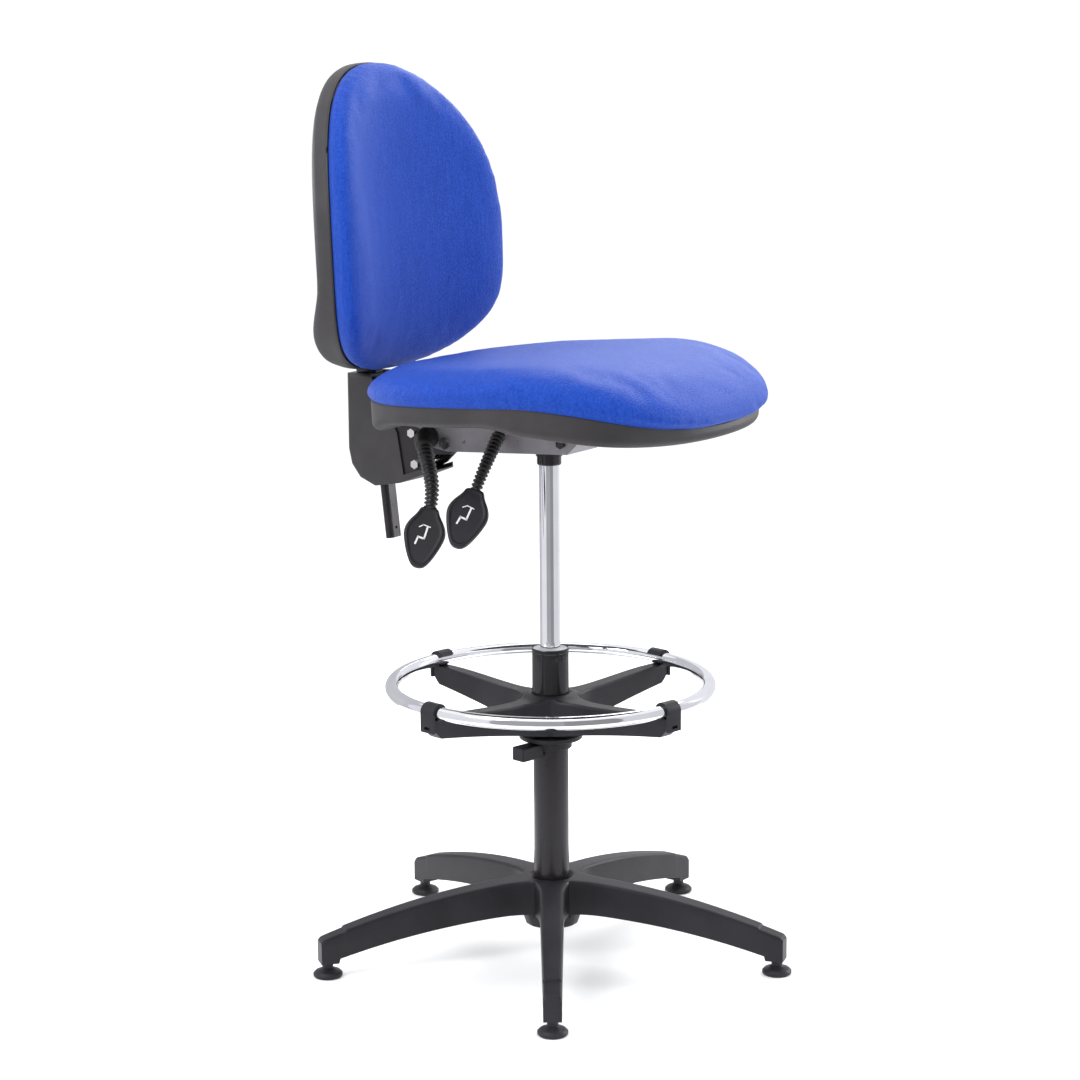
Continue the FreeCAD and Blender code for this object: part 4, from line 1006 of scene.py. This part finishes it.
def stage_floor():
    """A pale studio floor, wide enough to fill every view."""
    made = Nodes("studio_floor", (0.9, 0.9, 0.9), 0.7)
    soft = made.noise(3, 4.0)
    made.feed(made.tints(soft.outputs["Fac"], (0.955, 0.955, 0.958), (0.975, 0.975, 0.978)), "Base Color")
    bpy.ops.mesh.primitive_circle_add(vertices=96, radius=40, fill_type="NGON", location=(0, 0, 0))
    floor = bpy.context.object
    floor.name = "studio_floor"
    floor.data.materials.append(made.material)


def soft_light(name, place, aim, wide, tall, power):
    """A rectangular studio light, in metres and watts, which the camera does not see."""
    data = bpy.data.lights.new(name, "AREA")
    data.shape = "RECTANGLE"
    data.size = wide
    data.size_y = tall
    data.energy = power
    item = bpy.data.objects.new(name, data)
    item.location = place
    item.rotation_euler = (Vector(aim) - Vector(place)).to_track_quat("-Z", "Y").to_euler()
    item.visible_camera = False
    bpy.context.scene.collection.objects.link(item)


VIEW_TURN = math.radians(212)


def from_camera(right, back, up):
    """A place in metres given from the camera's side: to its right, behind the chair, and up."""
    ahead = Vector((-math.cos(VIEW_TURN), -math.sin(VIEW_TURN)))
    side = Vector((ahead.y, -ahead.x))
    spot = side * right + ahead * back
    return (spot.x, spot.y, up)


stage_floor()
middle = (0, 0, 0.65)
soft_light("key", from_camera(-2.2, -1.6, 2.6), middle, 1.6, 1.6, 55)
soft_light("fill", from_camera(2.6, -1.2, 1.3), middle, 1.2, 2.4, 10)
soft_light("left_strip", from_camera(-2.2, 1.4, 0.9), (0, 0, 0.7), 1.0, 1.2, 20)
soft_light("back_rim", from_camera(0.9, 2.6, 2.1), (0, 0, 0.8), 1.8, 1.2, 36)
soft_light("sheen_strip", from_camera(2.25, 1.1, 1.15), (0, 0.1, 1.0), 0.12, 1.4, 30)
soft_light("overhead", (0, 0, 3.4), (0, 0, 0), 2.4, 2.4, 30)

world = bpy.data.worlds.new("studio")
world.use_nodes = True
world.node_tree.nodes["Background"].inputs["Color"].default_value = (0.97, 0.98, 1, 1)
world.node_tree.nodes["Background"].inputs["Strength"].default_value = 1.08
bpy.context.scene.world = world


def reflected_card(name, start, end, grey):
    """A curved card round the chair, seen only in its glossy surfaces; degrees to the right of the camera."""
    made = Nodes(name, (0, 0, 0), 1.0)
    made.set(made.shader, {"Specular IOR Level": 0.0, "Emission Strength": 1.0,
                           "Emission Color": (grey, grey, grey * 1.05, 1)})
    radius, tall, steps = 0.8, 1.0, 10
    corners = []
    for step in range(steps + 1):
        angle = VIEW_TURN + math.radians(mix(start, end, step / steps))
        foot = Vector((math.cos(angle), math.sin(angle), 0)) * radius
        corners += [foot, foot + Vector((0, 0, tall))]
    faces = [(2 * step, 2 * step + 2, 2 * step + 3, 2 * step + 1) for step in range(steps)]
    mesh = bpy.data.meshes.new(name)
    mesh.from_pydata(corners, [], faces)
    mesh.materials.append(made.material)
    card = bpy.data.objects.new(name, mesh)
    bpy.context.scene.collection.objects.link(card)
    for sight in ("camera", "diffuse", "transmission", "volume_scatter", "shadow"):
        setattr(card, "visible_" + sight, False)


reflected_card("card_front", -36, 8, 0.4)
reflected_card("card_front_edge", 8, 43, 0.3)
reflected_card("card_left", -100, -36, 0.86)
reflected_card("card_left_rear", -179, -100, 0.6)
reflected_card("card_right", 43, 110, 0.74)
reflected_card("card_right_rear", 110, 180, 0.9)
bpy.context.scene.view_settings.view_transform = "Standard"


def photo_camera():
    """Stands in front of the chair's right side, a little above the seat, with a long lens.
    Distances are metres, turns degrees, and the lens and sensor millimetres."""
    distance, height = 3.5694, 1.2587
    pitch, roll, yaw = (math.radians(value) for value in (10.635, -0.396, -0.209))
    sensor, lens, rise = 36, 89.243, -0.00361
    across = Vector((-math.sin(VIEW_TURN), math.cos(VIEW_TURN), 0))
    ahead = Vector((-math.cos(VIEW_TURN), -math.sin(VIEW_TURN), 0))
    level = across * math.sin(yaw) + ahead * math.cos(yaw)
    forward = level * math.cos(pitch) - Vector((0, 0, math.sin(pitch)))
    right = across * math.cos(yaw) - ahead * math.sin(yaw)
    above = right.cross(forward)
    rolled_right = right * math.cos(roll) + above * math.sin(roll)
    rolled_up = above * math.cos(roll) - right * math.sin(roll)
    data = bpy.data.cameras.new("photo_camera")
    data.sensor_width = sensor
    data.lens = lens
    data.shift_y = rise
    camera = bpy.data.objects.new("photo_camera", data)
    turn = Matrix((rolled_right, rolled_up, -forward)).transposed()
    camera.matrix_world = Matrix.Translation(-ahead * distance + Vector((0, 0, height))) @ turn.to_4x4()
    bpy.context.scene.collection.objects.link(camera)
    bpy.context.scene.camera = camera


photo_camera()
